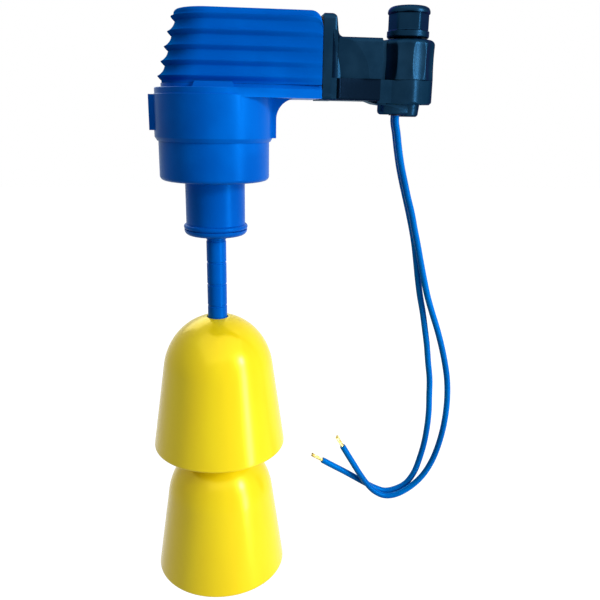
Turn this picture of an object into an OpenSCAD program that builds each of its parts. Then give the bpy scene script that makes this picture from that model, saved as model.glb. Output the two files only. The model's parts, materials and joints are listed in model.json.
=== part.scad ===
// Rod-type float switch for a tank lid: a ribbed switch head on a round spigot, a lifting rod with
// two bell floats, and a plug-in connector with two loose leads. Millimetres, +Z up. The origin is
// on the rod's axis at the collar's underside, which is the face that seats on the lid.

/* [Seat and neck] */
// Radius of the spigot that drops into the lid's hole
spigot_r = 23.4; // [22:0.1:24]
// Length of the spigot below the seat
spigot_len = 16.3; // [12:0.1:22]
// Rounding at the spigot's lower edge
spigot_round = 1.9; // [0.5:0.1:2.4]
// Radius of the neck that guides the rod
neck_r = 12.9; // [12.5:0.1:14]
// Length of the plain neck between spigot and bead
neck_len = 19; // [14:0.5:26]
// Radius of the bead at the neck's end
bead_r = 14; // [13.6:0.1:15.5]
// Height of the bead
bead_h = 2.4; // [1.6:0.1:4]
// Wall of the moulded base
base_wall = 2.6; // [2:0.1:3]

/* [Collar and arm] */
// Radius of the collar
collar_r = 24.9; // [24.8:0.1:26]
// Height of the collar above the seat
collar_h = 21.2; // [19:0.1:24]
// Height of the bevel at the collar's lower edge
collar_bevel = 1.6; // [0.8:0.1:2.4]
// Outer radius of the side lug on the collar
lug_r = 26.9; // [25.5:0.1:29]
// Width of the side lug
lug_w = 8; // [5:0.5:12]
// Height of the side lug
lug_h = 14.3; // [8:0.1:15]
// Width of the arm under the cover
arm_w = 30.6; // [30.2:0.1:33]
// Depth of the arm below the collar's top
arm_drop = 3.5; // [3:0.1:5]
// Radius of the gusset's hollow under the arm
gusset_r = 8.4; // [5:0.1:9]
// Width of the gusset
gusset_w = 13; // [8:0.5:18]
// Length of the front and back locating tabs
tab_len = 17; // [10:0.5:20]

/* [Ribbed cover] */
// Width of the cover over its ribs
cover_w = 30; // [29:0.1:30]
// Distance from the axis to the cover's end face, where the connector sits
cover_reach = 43.6; // [42:0.1:48]
// Number of ribs
rib_count = 5; // [3:1:5]
// Distance from one rib to the next
rib_pitch = 5.7; // [5.4:0.1:6.5]
// Depth of the hollow between two ribs
rib_depth = 1.5; // [0.8:0.1:1.6]
// Height of a rib's undercut
rib_undercut = 2.2; // [1:0.1:2.8]
// Step of the rounded end from one rib down to the next
rib_rake = 1.55; // [0.6:0.05:1.8]
// Reach of the highest rib's rounded end from the axis
rib_reach = 16.6; // [16:0.1:18]
// Height of the smooth band above the highest rib
crown_h = 2.3; // [1.5:0.1:4]
// Wall of the cover behind the hollows
cover_wall = 2; // [1.6:0.1:2.1]
// Thickness of the cover's seal
seal_t = 1; // [0.6:0.1:1.6]
// Thickness of the connector's seal
flange_seal_t = 0.4; // [0.3:0.1:1]
// Height of the plinth that the seal lies on
plinth_h = 1.7; // [1:0.1:2.5]

/* [Rod and magnet] */
// Radius of the lifting rod
rod_r = 4.4; // [4:0.1:4.8]
// Distance between two marks on the rod
mark_pitch = 10; // [5:0.5:20]
// Width of a mark
mark_w = 0.8; // [0.4:0.1:1.4]
// Depth of a mark
mark_depth = 0.25; // [0.1:0.05:0.4]
// Travel of the rod between its stops
rod_lift = 8; // [4:0.5:9]
// Radius of the chamber that the magnet holder slides in
chamber_r = 10; // [9.5:0.1:10.4]
// Height of the chamber's top above the seat
chamber_top = 15.6; // [14:0.1:16]
// Height of the magnet holder
holder_h = 15; // [13:0.5:16]
// Thickness of the rod's magnet
rod_magnet_t = 4.6; // [3:0.1:5]
// Diameter of the pin that holds the rod in its holder
cross_pin_d = 2; // [1.5:0.1:2.5]

/* [Floats] */
// Largest radius of a float
float_r = 31; // [28:0.5:34]
// Height of a float
float_h = 63.9; // [58:0.1:70]
// Radius where the dome meets the flared skirt
shoulder_r = 25.6; // [22:0.1:27]
// Height of the dome
dome_h = 27.6; // [20:0.1:32]
// Rounding at the float's lower edge
skirt_round = 0.9; // [0.6:0.1:3]
// Wall of a float
float_wall = 1.8; // [1.4:0.1:2.6]
// Height of the hub below a float's base
hub_h = 1.5; // [1.2:0.1:3]
// Free rod between the neck's bush and the upper float's top
float_drop = 37.5; // [36:0.1:60]
// Adjustment of the lower float along the rod
lower_adjust = 10; // [5:0.5:12]
// Adjustment of the upper float above the lower one
upper_adjust = 15; // [5:0.5:15]

/* [Switch] */
// Length of the snap switch
switch_l = 27.8; // [26:0.1:28]
// Thickness of the snap switch
switch_t = 10.3; // [9:0.1:10.4]
// Height of the snap switch
switch_h = 15.9; // [14:0.1:16.5]
// Distance from the axis to the lever's pin
pin_x = 33; // [31:0.5:33.5]
// Distance from the lever's pin to the plunger
plunger_arm = 8.5; // [7:0.5:10]
// Angle that the lever turns over the rod's travel
lever_turn = 4; // [2:0.5:4]
// Width of the lever
lever_w = 8; // [6:0.5:9]
// Thickness of the lever's sheet
lever_t = 1.2; // [0.8:0.1:1.6]
// Radius of the lever's pin
pin_r = 1; // [0.8:0.1:1.2]
// Radius of the lever's magnet
lever_magnet_r = 5; // [4:0.1:6]
// Thickness of the lever's magnet
lever_magnet_t = 3; // [2:0.1:3]

/* [Connector] */
// Width of the connector's flange
flange_w = 28; // [27:0.1:29]
// Thickness of the flange
flange_t = 6.5; // [4:0.1:7]
// Height of the flange
flange_h = 33.2; // [31:0.1:34]
// Width of the plug's upper shell
plug_w = 27; // [26:0.1:27.5]
// Length of the plug's shells
plug_l = 18; // [17:0.1:19]
// Height of the plug
plug_h = 24.5; // [23.5:0.1:25.5]
// Height of the lower shell
lower_shell_h = 8.6; // [8.2:0.1:9]
// Step back of the lower shell from the upper one, each side
shell_step = 1.5; // [0.5:0.1:2]
// Radius of the finger hollow in the plug's side
scoop_r = 17.8; // [15:0.1:18]
// Depth of the finger hollow
scoop_depth = 3.6; // [1:0.1:3.8]
// Radius of the sweep from the finger hollow to the flange's ridge
sweep_r = 6; // [4.5:0.1:8]
// Thickness of the flange's rim, as far as the ridge
ridge_t = 3.7; // [2:0.1:4.5]
// Radius of the fluted gland column
column_r = 11.9; // [11.6:0.1:12.4]
// Number of flutes on the column
flute_count = 12; // [6:1:14]
// Radius of a flute
flute_r = 2.2; // [1.4:0.1:2.4]
// Corner radius of the hexagonal foot
foot_r = 12.6; // [12.4:0.1:13.2]
// Radius of the cap nut's round rims
nut_r = 8.9; // [8.6:0.1:9.8]
// Height of a rim of the cap nut
nut_rim = 2.7; // [2:0.1:3.5]
// Angle that the cap nut is screwed home to
nut_turn = 14; // [0:1:59]
// Height of the cap nut
nut_h = 12.5; // [11:0.1:15]
// Radius of the gland's thread
thread_r = 6.4; // [6:0.1:6.5]

/* [Leads] */
// Diameter of a lead's insulation
lead_d = 3; // [2.4:0.1:3.1]
// Diameter of the bare strands
strand_d = 1.7; // [1.2:0.1:2]
// Length of the bare strands
strand_l = 6.5; // [4:0.5:8]

/* [Fits] */
// Radial clearance of a shaft that runs in its bore
run_fit = 0.05; // [0.02:0.01:0.09]
// Clearance between fixed pieces that fit in each other
seat_fit = 0.05; // [0.02:0.01:0.15]
// Clearance of a stop at rest
stop_gap = 0.2; // [0.1:0.05:0.3]
// Clearance round a piece that slides free
slide_gap = 0.6; // [0.4:0.05:0.8]

/* [Hidden] */
$fn = 64;
over = 1; // how far a cutter runs past the face that it cuts

// Colours as they look in daylight
blue = [0.0, 0.42, 0.82];
yellow = [0.94, 0.86, 0.08];
black = [0.10, 0.12, 0.15];
steel = [0.75, 0.76, 0.78];
brass = [0.78, 0.68, 0.30];
rubber = [0.13, 0.13, 0.14];

// Heights of the base
spigot_z = -spigot_len;
bead_z = spigot_z - neck_len;
neck_z = bead_z - bead_h;
plinth_z = collar_h + plinth_h;
cover_z = plinth_z + seal_t;
arm_z = collar_h - arm_drop;
arm_floor_z = arm_z + base_wall - 0.1;
screw_z = arm_z + 1;
deck_z = collar_h - base_wall;
tube_r = chamber_r + 3;

// The cover: half widths of rib and hollow, and the height of the crown
rib_y = cover_w / 2;
hollow_y = rib_y - rib_depth;
cavity_y = hollow_y - cover_wall;
crown_z = cover_z + rib_undercut + (rib_count - 1) * rib_pitch;
cover_top = crown_z + crown_h;
cavity_top = cover_top - 2.5;
cover_left = 2 * rib_y - rib_reach - (rib_count - 1) * rib_rake - rib_y - hollow_y;
crown_step = 1.2;
crown_round = 1.7;
flare_len = 10;
flare_x = cover_reach - 5.6 - flare_len;
flare_r = (flare_len * flare_len + rib_depth * rib_depth) / (2 * rib_depth);
end_wall = 2.5;
cavity_end = cover_reach - end_wall;
cavity_left = rib_reach - rib_depth - cover_wall + 0.3;
screw_r = 1.5;
screw_head_r = 2.7;
screw_head_h = 1.3;
post_r = 2.4;
lip_t = 0.6;
insert_w = 17;

// The rod and what it carries
bush_flange_z = neck_z - 2.5;
mark_top = neck_z - 5.1;
holder_top = chamber_top - slide_gap - rod_lift;
holder_z = holder_top - holder_h;
holder_r = chamber_r - slide_gap;
bush_top = holder_z - stop_gap;
rod_top = holder_z + 7.4;
magnet_z = holder_top - rod_magnet_t - 0.4;
magnet_r = holder_r - 2.2;
upper_top = bush_flange_z - float_drop;
float_pitch = float_h + hub_h + stop_gap;
lower_top = upper_top - float_pitch;
float_bore = rod_r + 0.3;
float_flare = atan((float_r - shoulder_r) / (float_h - dome_h));
float_disc_r = float_r - 2.8;
hub_r = 7;
washer_z = lower_top - float_h - hub_h - stop_gap;
washer_t = 1.2;
end_nut_h = 5;
rod_z = washer_z - washer_t - end_nut_h - 1;
key_w = 3;
key_out = 1.5;
grip_r = 6;
grip_h = 3.2;

// The switch over the chamber's closed top
lever_magnet_z = deck_z + 1.2;
lever_z = lever_magnet_z + lever_magnet_t;
pin_z = lever_z + 0.7;
plunger_x = pin_x - plunger_arm;
plunger_travel = plunger_arm * sin(lever_turn);
plunger_z = lever_z + lever_t + plunger_travel + 0.3;
switch_z = plunger_z + 1.5;
switch_x = 9.2;
bracket_t = 1.1;
bracket_y = switch_t / 2 + 0.15;
bracket_screw_x = 28;
cover_screw_y = bracket_y + bracket_t + post_r + 0.1;
cover_screw_at = [[-10.3, 0], [cover_reach - 7.6, -cover_screw_y], [cover_reach - 7.6, cover_screw_y]];
switch_hole_z = switch_z + 3.5;
switch_hole_x = [switch_x + 2.8, switch_x + 25];

// The connector
flange_x = cover_reach + flange_seal_t;
plug_x = flange_x + flange_t;
ridge_x = flange_x + ridge_t;
scoop_x = flange_x + 1.5;
flange_z = arm_z - 0.4;
plug_z = flange_z + 0.1;
split_z = plug_z + lower_shell_h;
plug_top = plug_z + plug_h;
plug_end = plug_x + plug_l;
column_x = plug_end + column_r + 1.9;
column_top = plug_top + 0.4;
shell_wall = 2.2;
shell_end = 5.4;
insert_top = split_z + 12;
flange_screw_r = 1.2;
blade_w = 6.3;
blade_t = 0.8;
blade_l = 9;
blade_mid = split_z + 3.6;
blades = [[-5.2, 0], [5.2, 0], [0, -6.1], [0, 6.1]];
passage_w = 8;
passage_z = split_z + 3;
passage_h = 5;
foot_z = plug_z - 1.2;
chin_z = foot_z - 4.2;
seam_w = 1;
block_w = 18;
nut_z = column_top + 0.7;
thread_top = nut_z + nut_h - 3.2;
ring_r = 5;
blank_r = 3.6;
grommet_x = plug_end + 10;
chin_w = 11;
chin_x = plug_end + 7.6;
lead_gap = 3.2;

// Routes of the two leads, from the grommet to the ends of their insulation
lead_a_route = [[78.6, 1.6, 13], [78.6, 1.6, 9], [79.6, 1.6, 4], [80.8, 1.6, -3], [82.2, 1.6, -10],
    [84, 1.6, -17], [86, 1.6, -24], [88, 1.6, -31], [90, 1.6, -38.5], [91.7, 1.6, -46],
    [93.1, 1.6, -54], [94.4, 1.6, -62], [96, 1.6, -70.5], [98, 1.6, -79], [99.7, 1.6, -87.5],
    [101.3, 1.6, -96], [102.6, 1.6, -105], [104, 1.6, -114], [104.5, 1.6, -123], [104.9, 1.6, -132],
    [104.6, 1.6, -141], [103.6, 1.6, -150], [101.8, 1.6, -158.5], [99.5, 1.6, -166],
    [95.6, 1.6, -172], [90.3, 1.6, -175], [84.6, 1.6, -175.9], [79, 1.6, -173.8],
    [73.5, 1.6, -170.5], [68, 1.6, -166.9], [62.3, 1.6, -163.2], [56.6, 1.6, -159.7],
    [51, 1.6, -156.2]];
lead_b_route = [[78.6, -1.6, 13], [78.6, -1.6, 9], [79.6, -1.6, 4], [80.8, -1.6, -3],
    [82.3, -1.6, -10], [84.2, -1.6, -17], [86.2, -1.6, -24], [88.4, -1.6, -31], [90.3, -1.6, -38.5],
    [92.3, -1.6, -46], [94.3, -1.6, -54], [96.4, -1.6, -62], [98.8, -1.6, -70.5],
    [101.6, -1.6, -78.5], [104.6, -1.6, -86.5], [107.4, -1.6, -95], [109.9, -1.6, -104],
    [111.8, -1.6, -113], [112.8, -1.6, -122], [112.8, -1.6, -131], [111.9, -1.6, -140],
    [110.1, -1.6, -149.5], [107.3, -1.6, -158.3], [103, -1.6, -166.2], [97, -1.6, -172.3],
    [90, -1.6, -176.2], [83.6, -1.6, -176.7], [78, -1.6, -173.7], [73.6, -1.6, -168.8],
    [69.8, -1.6, -163.1], [66.6, -1.6, -157.7], [63.5, -1.6, -152.4], [60.5, -1.6, -147.2]];
lead_sides = 8;

// Points of an arc from angle a to angle b, in degrees
function arc(x, y, r, a, b, n = 6) = [for (i = [0:n]) let (t = a + (b - a) * i / n) [x + r * cos(t),
    y + r * sin(t)]];

function unit(v) = v / norm(v);

// A direction square to t that changes as little as possible from u
function carried(u, t) = unit(u - (u * t) * t);

function route_dir(p, i) = let (n = len(p) - 1) unit(p[min(i + 1, n)] - p[max(i - 1, 0)]);

function frames(p, i = 0, u = [0, 1, 0]) =
    i == len(p) ? [] : let (w = carried(u, route_dir(p, i))) concat([w], frames(p, i + 1, w));

// A round tube along a route, closed at both ends
module tube(p, r, sides) {
    n = len(p);
    u = frames(p);
    points = [for (i = [0:n - 1]) let (t = route_dir(p, i), w = cross(t, u[i]))
        for (k = [0:sides - 1]) let (a = 360 * k / sides) p[i] + r * (cos(a) * u[i] + sin(a) * w)];
    side_faces = [for (i = [0:n - 2]) for (k = [0:sides - 1]) let (k2 = (k + 1) % sides)
        [i * sides + k, (i + 1) * sides + k, (i + 1) * sides + k2, i * sides + k2]];
    start_face = [for (k = [0:sides - 1]) k];
    end_face = [for (k = [sides - 1:-1:0]) (n - 1) * sides + k];
    polyhedron(points = points, faces = concat(side_faces, [start_face, end_face]));
}

// Extrudes an outline given in Y and Z along X, from x0 to x1
module along_x(x0, x1) {
    translate([x0, 0, 0]) rotate([90, 0, 90]) linear_extrude(x1 - x0) children();
}

// Extrudes an outline given in X and Z along Y, centred, w wide
module along_y(w) {
    translate([0, w / 2, 0]) rotate([90, 0, 0]) linear_extrude(w) children();
}

// A plan with a round left end that reaches x0 and straight sides to x1
module bullet(x0, x1, half) {
    translate([x0 + half, 0]) circle(half);
    translate([x0 + half, -half]) square([x1 - x0 - half, 2 * half]);
}

module rounded_rect(w, h, r) {
    translate([-w / 2 + r, 0]) square([w - 2 * r, h]);
    translate([-w / 2, r]) square([w, h - 2 * r]);
    for (x = [-w / 2 + r, w / 2 - r]) for (y = [r, h - r]) translate([x, y]) circle(r);
}

module at_cover_screws() {
    for (p = cover_screw_at) translate([p[0], p[1], 0]) children();
}

// Posts round the cover's screws, webbed to the wall beside them
module screw_posts(z0, z1) {
    for (p = cover_screw_at) translate([p[0], p[1], z0]) {
        cylinder(r = post_r, h = z1 - z0);
        if (p[1] != 0) translate([-1, p[1] > 0 ? 0 : -3.2, 0]) cube([2, 3.2, z1 - z0]);
        if (p[1] == 0) translate([-3.8, -1, 0]) cube([3.8, 2, z1 - z0]);
    }
}

// Base: neck, spigot, collar, arm and the closed magnet chamber in one moulding
module base_outline() {
    bead_round = bead_h / 2;
    polygon(concat(
        [[0, neck_z], [bead_r - bead_round, neck_z]],
        arc(bead_r - bead_round, neck_z + bead_round, bead_round, -90, 90, 8),
        [[neck_r, bead_z], [neck_r, spigot_z]],
        arc(spigot_r - spigot_round, spigot_z + spigot_round, spigot_round, -90, 0, 8),
        [[spigot_r, 0], [collar_r - 1, 0], [collar_r, collar_bevel], [collar_r, deck_z - 0.1],
            [collar_r - 0.6, deck_z + 0.2], [collar_r - 0.6, collar_h - 0.3], [collar_r - 0.9,
                collar_h], [0, collar_h]]));
}

module side_lug() {
    lug_z = deck_z - lug_h - 0.1;
    intersection() {
        translate([-lug_r - over, -lug_w / 2, lug_z]) cube([lug_r + over, lug_w, lug_h]);
        translate([0, 0, lug_z]) cylinder(r = lug_r, h = lug_h);
    }
}

module gusset() {
    edge_x = collar_r + 1;
    along_y(gusset_w) difference() {
        translate([0, collar_bevel]) square([edge_x + gusset_r, arm_z + 0.1 - collar_bevel]);
        translate([edge_x, -over]) square([gusset_r + over, arm_z + over - gusset_r]);
        translate([edge_x + gusset_r, arm_z - gusset_r]) circle(gusset_r);
    }
}

module arm_outline() {
    half = arm_w / 2;
    polygon([[-half + 0.7, arm_z], [half - 0.7, arm_z], [half, arm_z + 0.7], [half, collar_h - 0.7],
        [hollow_y, plinth_z], [-hollow_y, plinth_z], [-half, collar_h - 0.7], [-half, arm_z + 0.7]]);
}

module locating_tab() {
    ramp = 1.2;
    for (s = [0, 1]) mirror([0, s, 0]) intersection() {
        along_x(-tab_len / 2, tab_len / 2) polygon([[-hollow_y, collar_h - 0.1], [-rib_y - 0.8,
            collar_h - 0.1],
            [-rib_y + 0.2, cover_z - 0.3], [-hollow_y - 0.05, cover_z - 0.3], [-hollow_y - 0.05,
                plinth_z], [-hollow_y, plinth_z]]);
        along_y(2 * collar_r) polygon([[-tab_len / 2, collar_h - 0.1], [tab_len / 2, collar_h - 0.1],
            [tab_len / 2 - ramp, cover_z], [-tab_len / 2 + ramp, cover_z]]);
    }
}

// Deck's sides: they run from the collar's shoulder, almost tangent to it, to the arm's end
module deck_taper() {
    r = collar_r - 0.7;
    end = [cover_reach, arm_w / 2];
    turn = atan2(end.y, end.x) + acos(r / norm(end));
    translate([0, 0, arm_z]) linear_extrude(collar_h - arm_z)
        polygon([[r * cos(turn), r * sin(turn)], [r * cos(turn), -r * sin(turn)], [end.x, -end.y], end]);
}

module base_body() {
    color(blue) difference() {
        union() {
            rotate_extrude($fn = 96) base_outline();
            side_lug();
            gusset();
            along_x(0, cover_reach) arm_outline();
            deck_taper();
            translate([0, 0, deck_z]) linear_extrude(plinth_z - deck_z)
                bullet(-collar_r + 3.3, cover_reach, hollow_y);
            locating_tab();
        }
        // the well round the chamber's wall
        rotate_extrude($fn = 96) polygon([[tube_r, spigot_z + base_wall], [spigot_r - base_wall,
            spigot_z + base_wall],
            [spigot_r - base_wall, 2], [collar_r - base_wall, 4], [collar_r - base_wall, deck_z],
                [tube_r, deck_z]]);
        // the way up into the cover, round the bosses that the cover's screws bite in
        difference() {
            union() {
                translate([0, 0, deck_z]) linear_extrude(plinth_z - deck_z + over)
                    bullet(-collar_r + 5.6, 20, cavity_y);
                translate([19, -cavity_y, arm_floor_z]) cube([cavity_end - 19, 2 * cavity_y,
                    plinth_z - arm_floor_z + over]);
            }
            screw_posts(deck_z - over, plinth_z);
            translate([-19, -1, deck_z - over]) cube([8, 2, plinth_z - deck_z + over]);
        }
        // the window for the socket's insert
        translate([cavity_end - over, -insert_w / 2 - 0.2, arm_floor_z])
            cube([end_wall + 2 * over, insert_w + 0.4, plinth_z - arm_floor_z + over]);
        // the rod's chamber, open below, with a slot for the holder's key
        translate([0, 0, neck_z - over]) cylinder(r = chamber_r, h = chamber_top - neck_z + over);
        translate([-key_w / 2 - 0.3, 0, neck_z - over])
            cube([key_w + 0.6, chamber_r + key_out, chamber_top - neck_z + over]);
        at_cover_screws() translate([0, 0, screw_z]) cylinder(r = screw_r + seat_fit, h = 8, $fn = 24);
        at_flange_screws() rotate([0, 90, 0]) cylinder(r = flange_screw_r + seat_fit, h = 7,
            center = true, $fn = 24);
        translate([bracket_screw_x, 0, arm_z + 0.6]) cylinder(r = 1.2 + seat_fit, h = base_wall + over,
            $fn = 24);
    }
}

// Bush: closes the neck, guides the rod at two lands and is the rod's lower stop
module guide_bush() {
    flange_r = bead_r - 0.2;
    color(blue) difference() {
        union() {
            rotate_extrude() polygon(concat([[0, bush_flange_z], [flange_r - 2.6, bush_flange_z]],
                arc(flange_r - 2.4, bush_flange_z + 2.4, 2.4, -88, 0, 8), [[flange_r, neck_z], [0,
                    neck_z]]));
            translate([0, 0, neck_z]) cylinder(r = chamber_r - seat_fit, h = bush_top - neck_z);
            translate([-key_w / 2, 0, neck_z]) cube([key_w, chamber_r + key_out - 0.3, 12]);
        }
        translate([0, 0, bush_flange_z - over]) cylinder(r = rod_r + run_fit,
            h = bush_top - bush_flange_z + 2 * over);
        translate([0, 0, bush_flange_z + 9]) cylinder(r = rod_r + 1.2, h = bush_top - bush_flange_z - 18);
    }
}

module cover_seal() {
    color(rubber) translate([0, 0, plinth_z]) difference() {
        linear_extrude(seal_t) difference() {
            bullet(cover_left + lip_t + 0.1, cover_reach - 0.4, hollow_y - lip_t - 0.1);
            bullet(-collar_r + 5.4, cavity_end + 0.2, cavity_y + 0.2);
            translate([cavity_end, -insert_w / 2 - 0.2]) square([end_wall + over, insert_w + 0.4]);
        }
    }
}

// One rib with the hollow above it: its rounded end and its straight sides
module rib(i) {
    root = cover_z + i * rib_pitch;
    tip = root + rib_undercut;
    x = rib_y - rib_reach - (rib_count - 1 - i) * rib_rake;
    last = i == rib_count - 1;
    upper = rib_pitch - rib_undercut;
    side = concat([[hollow_y, root], [rib_y, tip]], last
        ? concat([[rib_y - crown_step * 0.6, tip + 0.25]],
            arc(rib_y - crown_step - crown_round, cover_top - crown_round, crown_round, 0, 90, 7))
        : [for (k = [1:5]) let (u = k / 5) [hollow_y + rib_depth * (1 - u) * (1 - u), tip + upper * u]]);
    top = last ? cover_top : root + rib_pitch;
    translate([x, 0, 0]) rotate([0, 0, 90]) rotate_extrude(angle = 180, $fn = 72)
        polygon(concat([[0, root]], side, [[0, top]]));
    along_x(x, cover_reach) polygon(concat(side, [for (k = [len(side) - 1:-1:0]) [-side[k][0],
        side[k][1]]]));
}

module ribbed_cover() {
    corner_r = 4.6;
    color(blue) difference() {
        union() {
            for (i = [0:rib_count - 1]) rib(i);
            // lip that comes down round the seal
            translate([0, 0, plinth_z + 0.1]) linear_extrude(seal_t) difference() {
                bullet(cover_left, cover_reach, hollow_y);
                bullet(cover_left + lip_t, cover_reach + 2 * hollow_y, hollow_y - lip_t);
            }
            // the sides swell out to the end flange, where the ribs run out
            translate([0, 0, cover_z]) linear_extrude(crown_z - cover_z) difference() {
                translate([flare_x, -rib_y]) square([cover_reach - flare_x, 2 * rib_y]);
                for (s = [-1, 1]) translate([flare_x, s * (hollow_y + flare_r)]) circle(flare_r, $fn = 180);
            }
        }
        difference() {
            translate([0, 0, cover_z - over]) linear_extrude(cavity_top - cover_z + over)
                bullet(-cavity_left, cavity_end, cavity_y);
            screw_posts(cover_z - 2 * over, cavity_top + over);
        }
        translate([cavity_end - over, -insert_w / 2 - 0.2, cover_z - over])
            cube([end_wall + 2 * over, insert_w + 0.4, insert_top + 0.2 - cover_z + over]);
        at_cover_screws() {
            translate([0, 0, cover_z - over]) cylinder(r = screw_r + 0.2, h = cover_top, $fn = 24);
            translate([0, 0, cover_top - screw_head_h]) cylinder(r = screw_head_r + 0.3,
                h = screw_head_h + over);
        }
        at_flange_screws() rotate([0, 90, 0]) cylinder(r = flange_screw_r + seat_fit, h = 7,
            center = true, $fn = 24);
        // rounded top corner at the end flange
        along_y(cover_w + 2 * over) difference() {
            translate([cover_reach - corner_r, cover_top - corner_r]) square(corner_r + over);
            translate([cover_reach - corner_r, cover_top - corner_r]) circle(corner_r);
        }
    }
}

module cover_screws() {
    head_z = cover_top - screw_head_h;
    color(steel) at_cover_screws() difference() {
        union() {
            translate([0, 0, screw_z + 0.5]) cylinder(r = screw_r, h = head_z - screw_z - 0.5, $fn = 24);
            translate([0, 0, head_z]) cylinder(r1 = screw_head_r, r2 = screw_head_r - 0.3,
                h = screw_head_h - 0.1);
        }
        for (a = [0, 90]) translate([0, 0, cover_top]) rotate([0, 0, a]) cube([3.2, 0.8, 1.8],
            center = true);
    }
}

// Rod with a scored mark at every step of the floats' adjustment
module rod() {
    mark_count = floor((mark_top - washer_z) / mark_pitch);
    color(blue) difference() {
        translate([0, 0, rod_z]) cylinder(r = rod_r, h = rod_top - rod_z);
        for (i = [0:mark_count]) translate([0, 0, mark_top - i * mark_pitch - mark_w / 2]) difference() {
            cylinder(r = rod_r + over, h = mark_w);
            translate([0, 0, -over]) cylinder(r = rod_r - mark_depth, h = mark_w + 2 * over);
        }
        translate([0, 0, holder_z + 3.5]) rotate([0, 90, 0])
            cylinder(r = cross_pin_d / 2 + seat_fit, h = 3 * rod_r, center = true, $fn = 24);
    }
}

module magnet_holder() {
    color(black) difference() {
        union() {
            translate([0, 0, holder_z]) cylinder(r1 = holder_r - 0.8, r2 = holder_r, h = 0.8);
            translate([0, 0, holder_z + 0.8]) cylinder(r = holder_r, h = holder_h - 0.8);
            translate([-key_w / 2, 0, holder_z + 0.8]) cube([key_w, chamber_r + key_out - 0.5,
                holder_h - 0.8]);
        }
        translate([0, 0, holder_z - over]) cylinder(r = rod_r + seat_fit,
            h = rod_top + 0.1 - holder_z + over);
        translate([0, 0, magnet_z]) cylinder(r = magnet_r + seat_fit, h = holder_h);
        translate([0, 0, holder_z + 3.5]) rotate([0, 90, 0])
            cylinder(r = cross_pin_d / 2 + seat_fit, h = 3 * holder_r, center = true, $fn = 24);
    }
}

module rod_magnet() {
    color(steel) translate([0, 0, magnet_z]) cylinder(r = magnet_r, h = rod_magnet_t);
}

module holder_pin() {
    color(steel) translate([0, 0, holder_z + 3.5]) rotate([0, 90, 0])
        cylinder(r = cross_pin_d / 2, h = 2 * holder_r - 3, center = true, $fn = 24);
}

module end_washer() {
    color(steel) translate([0, 0, washer_z - washer_t]) difference() {
        cylinder(r = hub_r + 1.5, h = washer_t);
        translate([0, 0, -over]) cylinder(r = rod_r + seat_fit, h = washer_t + 2 * over);
    }
}

module end_nut() {
    grips = 12;
    nut_out = hub_r + 0.8;
    color(blue) translate([0, 0, washer_z - washer_t - end_nut_h]) difference() {
        union() {
            cylinder(r1 = nut_out - 0.8, r2 = nut_out, h = 0.8);
            translate([0, 0, 0.8]) cylinder(r = nut_out, h = end_nut_h - 0.8);
        }
        translate([0, 0, -over]) cylinder(r = rod_r + seat_fit, h = end_nut_h + 2 * over);
        for (i = [0:grips - 1]) rotate([0, 0, i * 360 / grips]) translate([nut_out + 0.4, 0, -over])
            cylinder(r = 1, h = end_nut_h + 2 * over, $fn = 24);
    }
}

// Half outline of a bell: an elliptic dome that runs out tangent to a flared skirt, from the radius r0
function dome(r0, r1, depth, top, flare) = let (start = asin(r0 / r1), end = atan(r1 / depth / tan(flare)))
    [for (i = [0:14]) let (t = start + (end - start) * i / 14) [r1 * sin(t),
        top - depth + depth * cos(t)]];

// Bell float: dome, flared skirt, rounded lower edge, and a short hub in its crown for the rod
module float_shell(top) {
    foot = top - float_h;
    outer = concat(dome(float_bore, shoulder_r, dome_h, top, float_flare),
        arc(float_r - skirt_round, foot + skirt_round, skirt_round, float_flare, -90, 7));
    color(yellow) difference() {
        rotate_extrude($fn = 128) polygon(concat(outer, [[float_bore, foot]]));
        rotate_extrude($fn = 96) polygon(concat([[hub_r, top - 12]],
            dome(hub_r, shoulder_r - float_wall, dome_h - float_wall, top - float_wall, float_flare),
            [[float_disc_r, foot + 4], [float_disc_r, foot - over], [0, foot - over], [0, top - 12]]));
    }
}

module float_base(top) {
    foot = top - float_h;
    color(yellow) difference() {
        union() {
            translate([0, 0, foot]) cylinder(r = float_disc_r - seat_fit, h = 2, $fn = 96);
            translate([0, 0, foot - hub_h]) cylinder(r1 = hub_r - 0.5, r2 = hub_r, h = hub_h);
            translate([0, 0, foot]) cylinder(r = hub_r, h = float_h - 12 - seat_fit);
            for (i = [0:5]) rotate([0, 0, 60 * i]) translate([hub_r - 1, -0.6, foot + 1])
                cube([float_disc_r - hub_r - 1, 1.2, 5]);
        }
        translate([0, 0, foot - hub_h - over]) cylinder(r = float_bore, h = float_h + hub_h);
        translate([0, 0, foot - hub_h - over]) cylinder(r = grip_r + seat_fit, h = grip_h + over);
    }
}

module grip_ring(top) {
    color(rubber) translate([0, 0, top - float_h - hub_h + 0.1]) difference() {
        cylinder(r = grip_r, h = grip_h - 0.1);
        translate([0, 0, -over]) cylinder(r = rod_r + run_fit, h = grip_h + 2 * over);
    }
}

module upper_float() { float_shell(upper_top); }
module upper_float_base() { float_base(upper_top); }
module upper_grip_ring() { grip_ring(upper_top); }
module lower_float() { float_shell(lower_top); }
module lower_float_base() { float_base(lower_top); }
module lower_grip_ring() { grip_ring(lower_top); }

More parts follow.
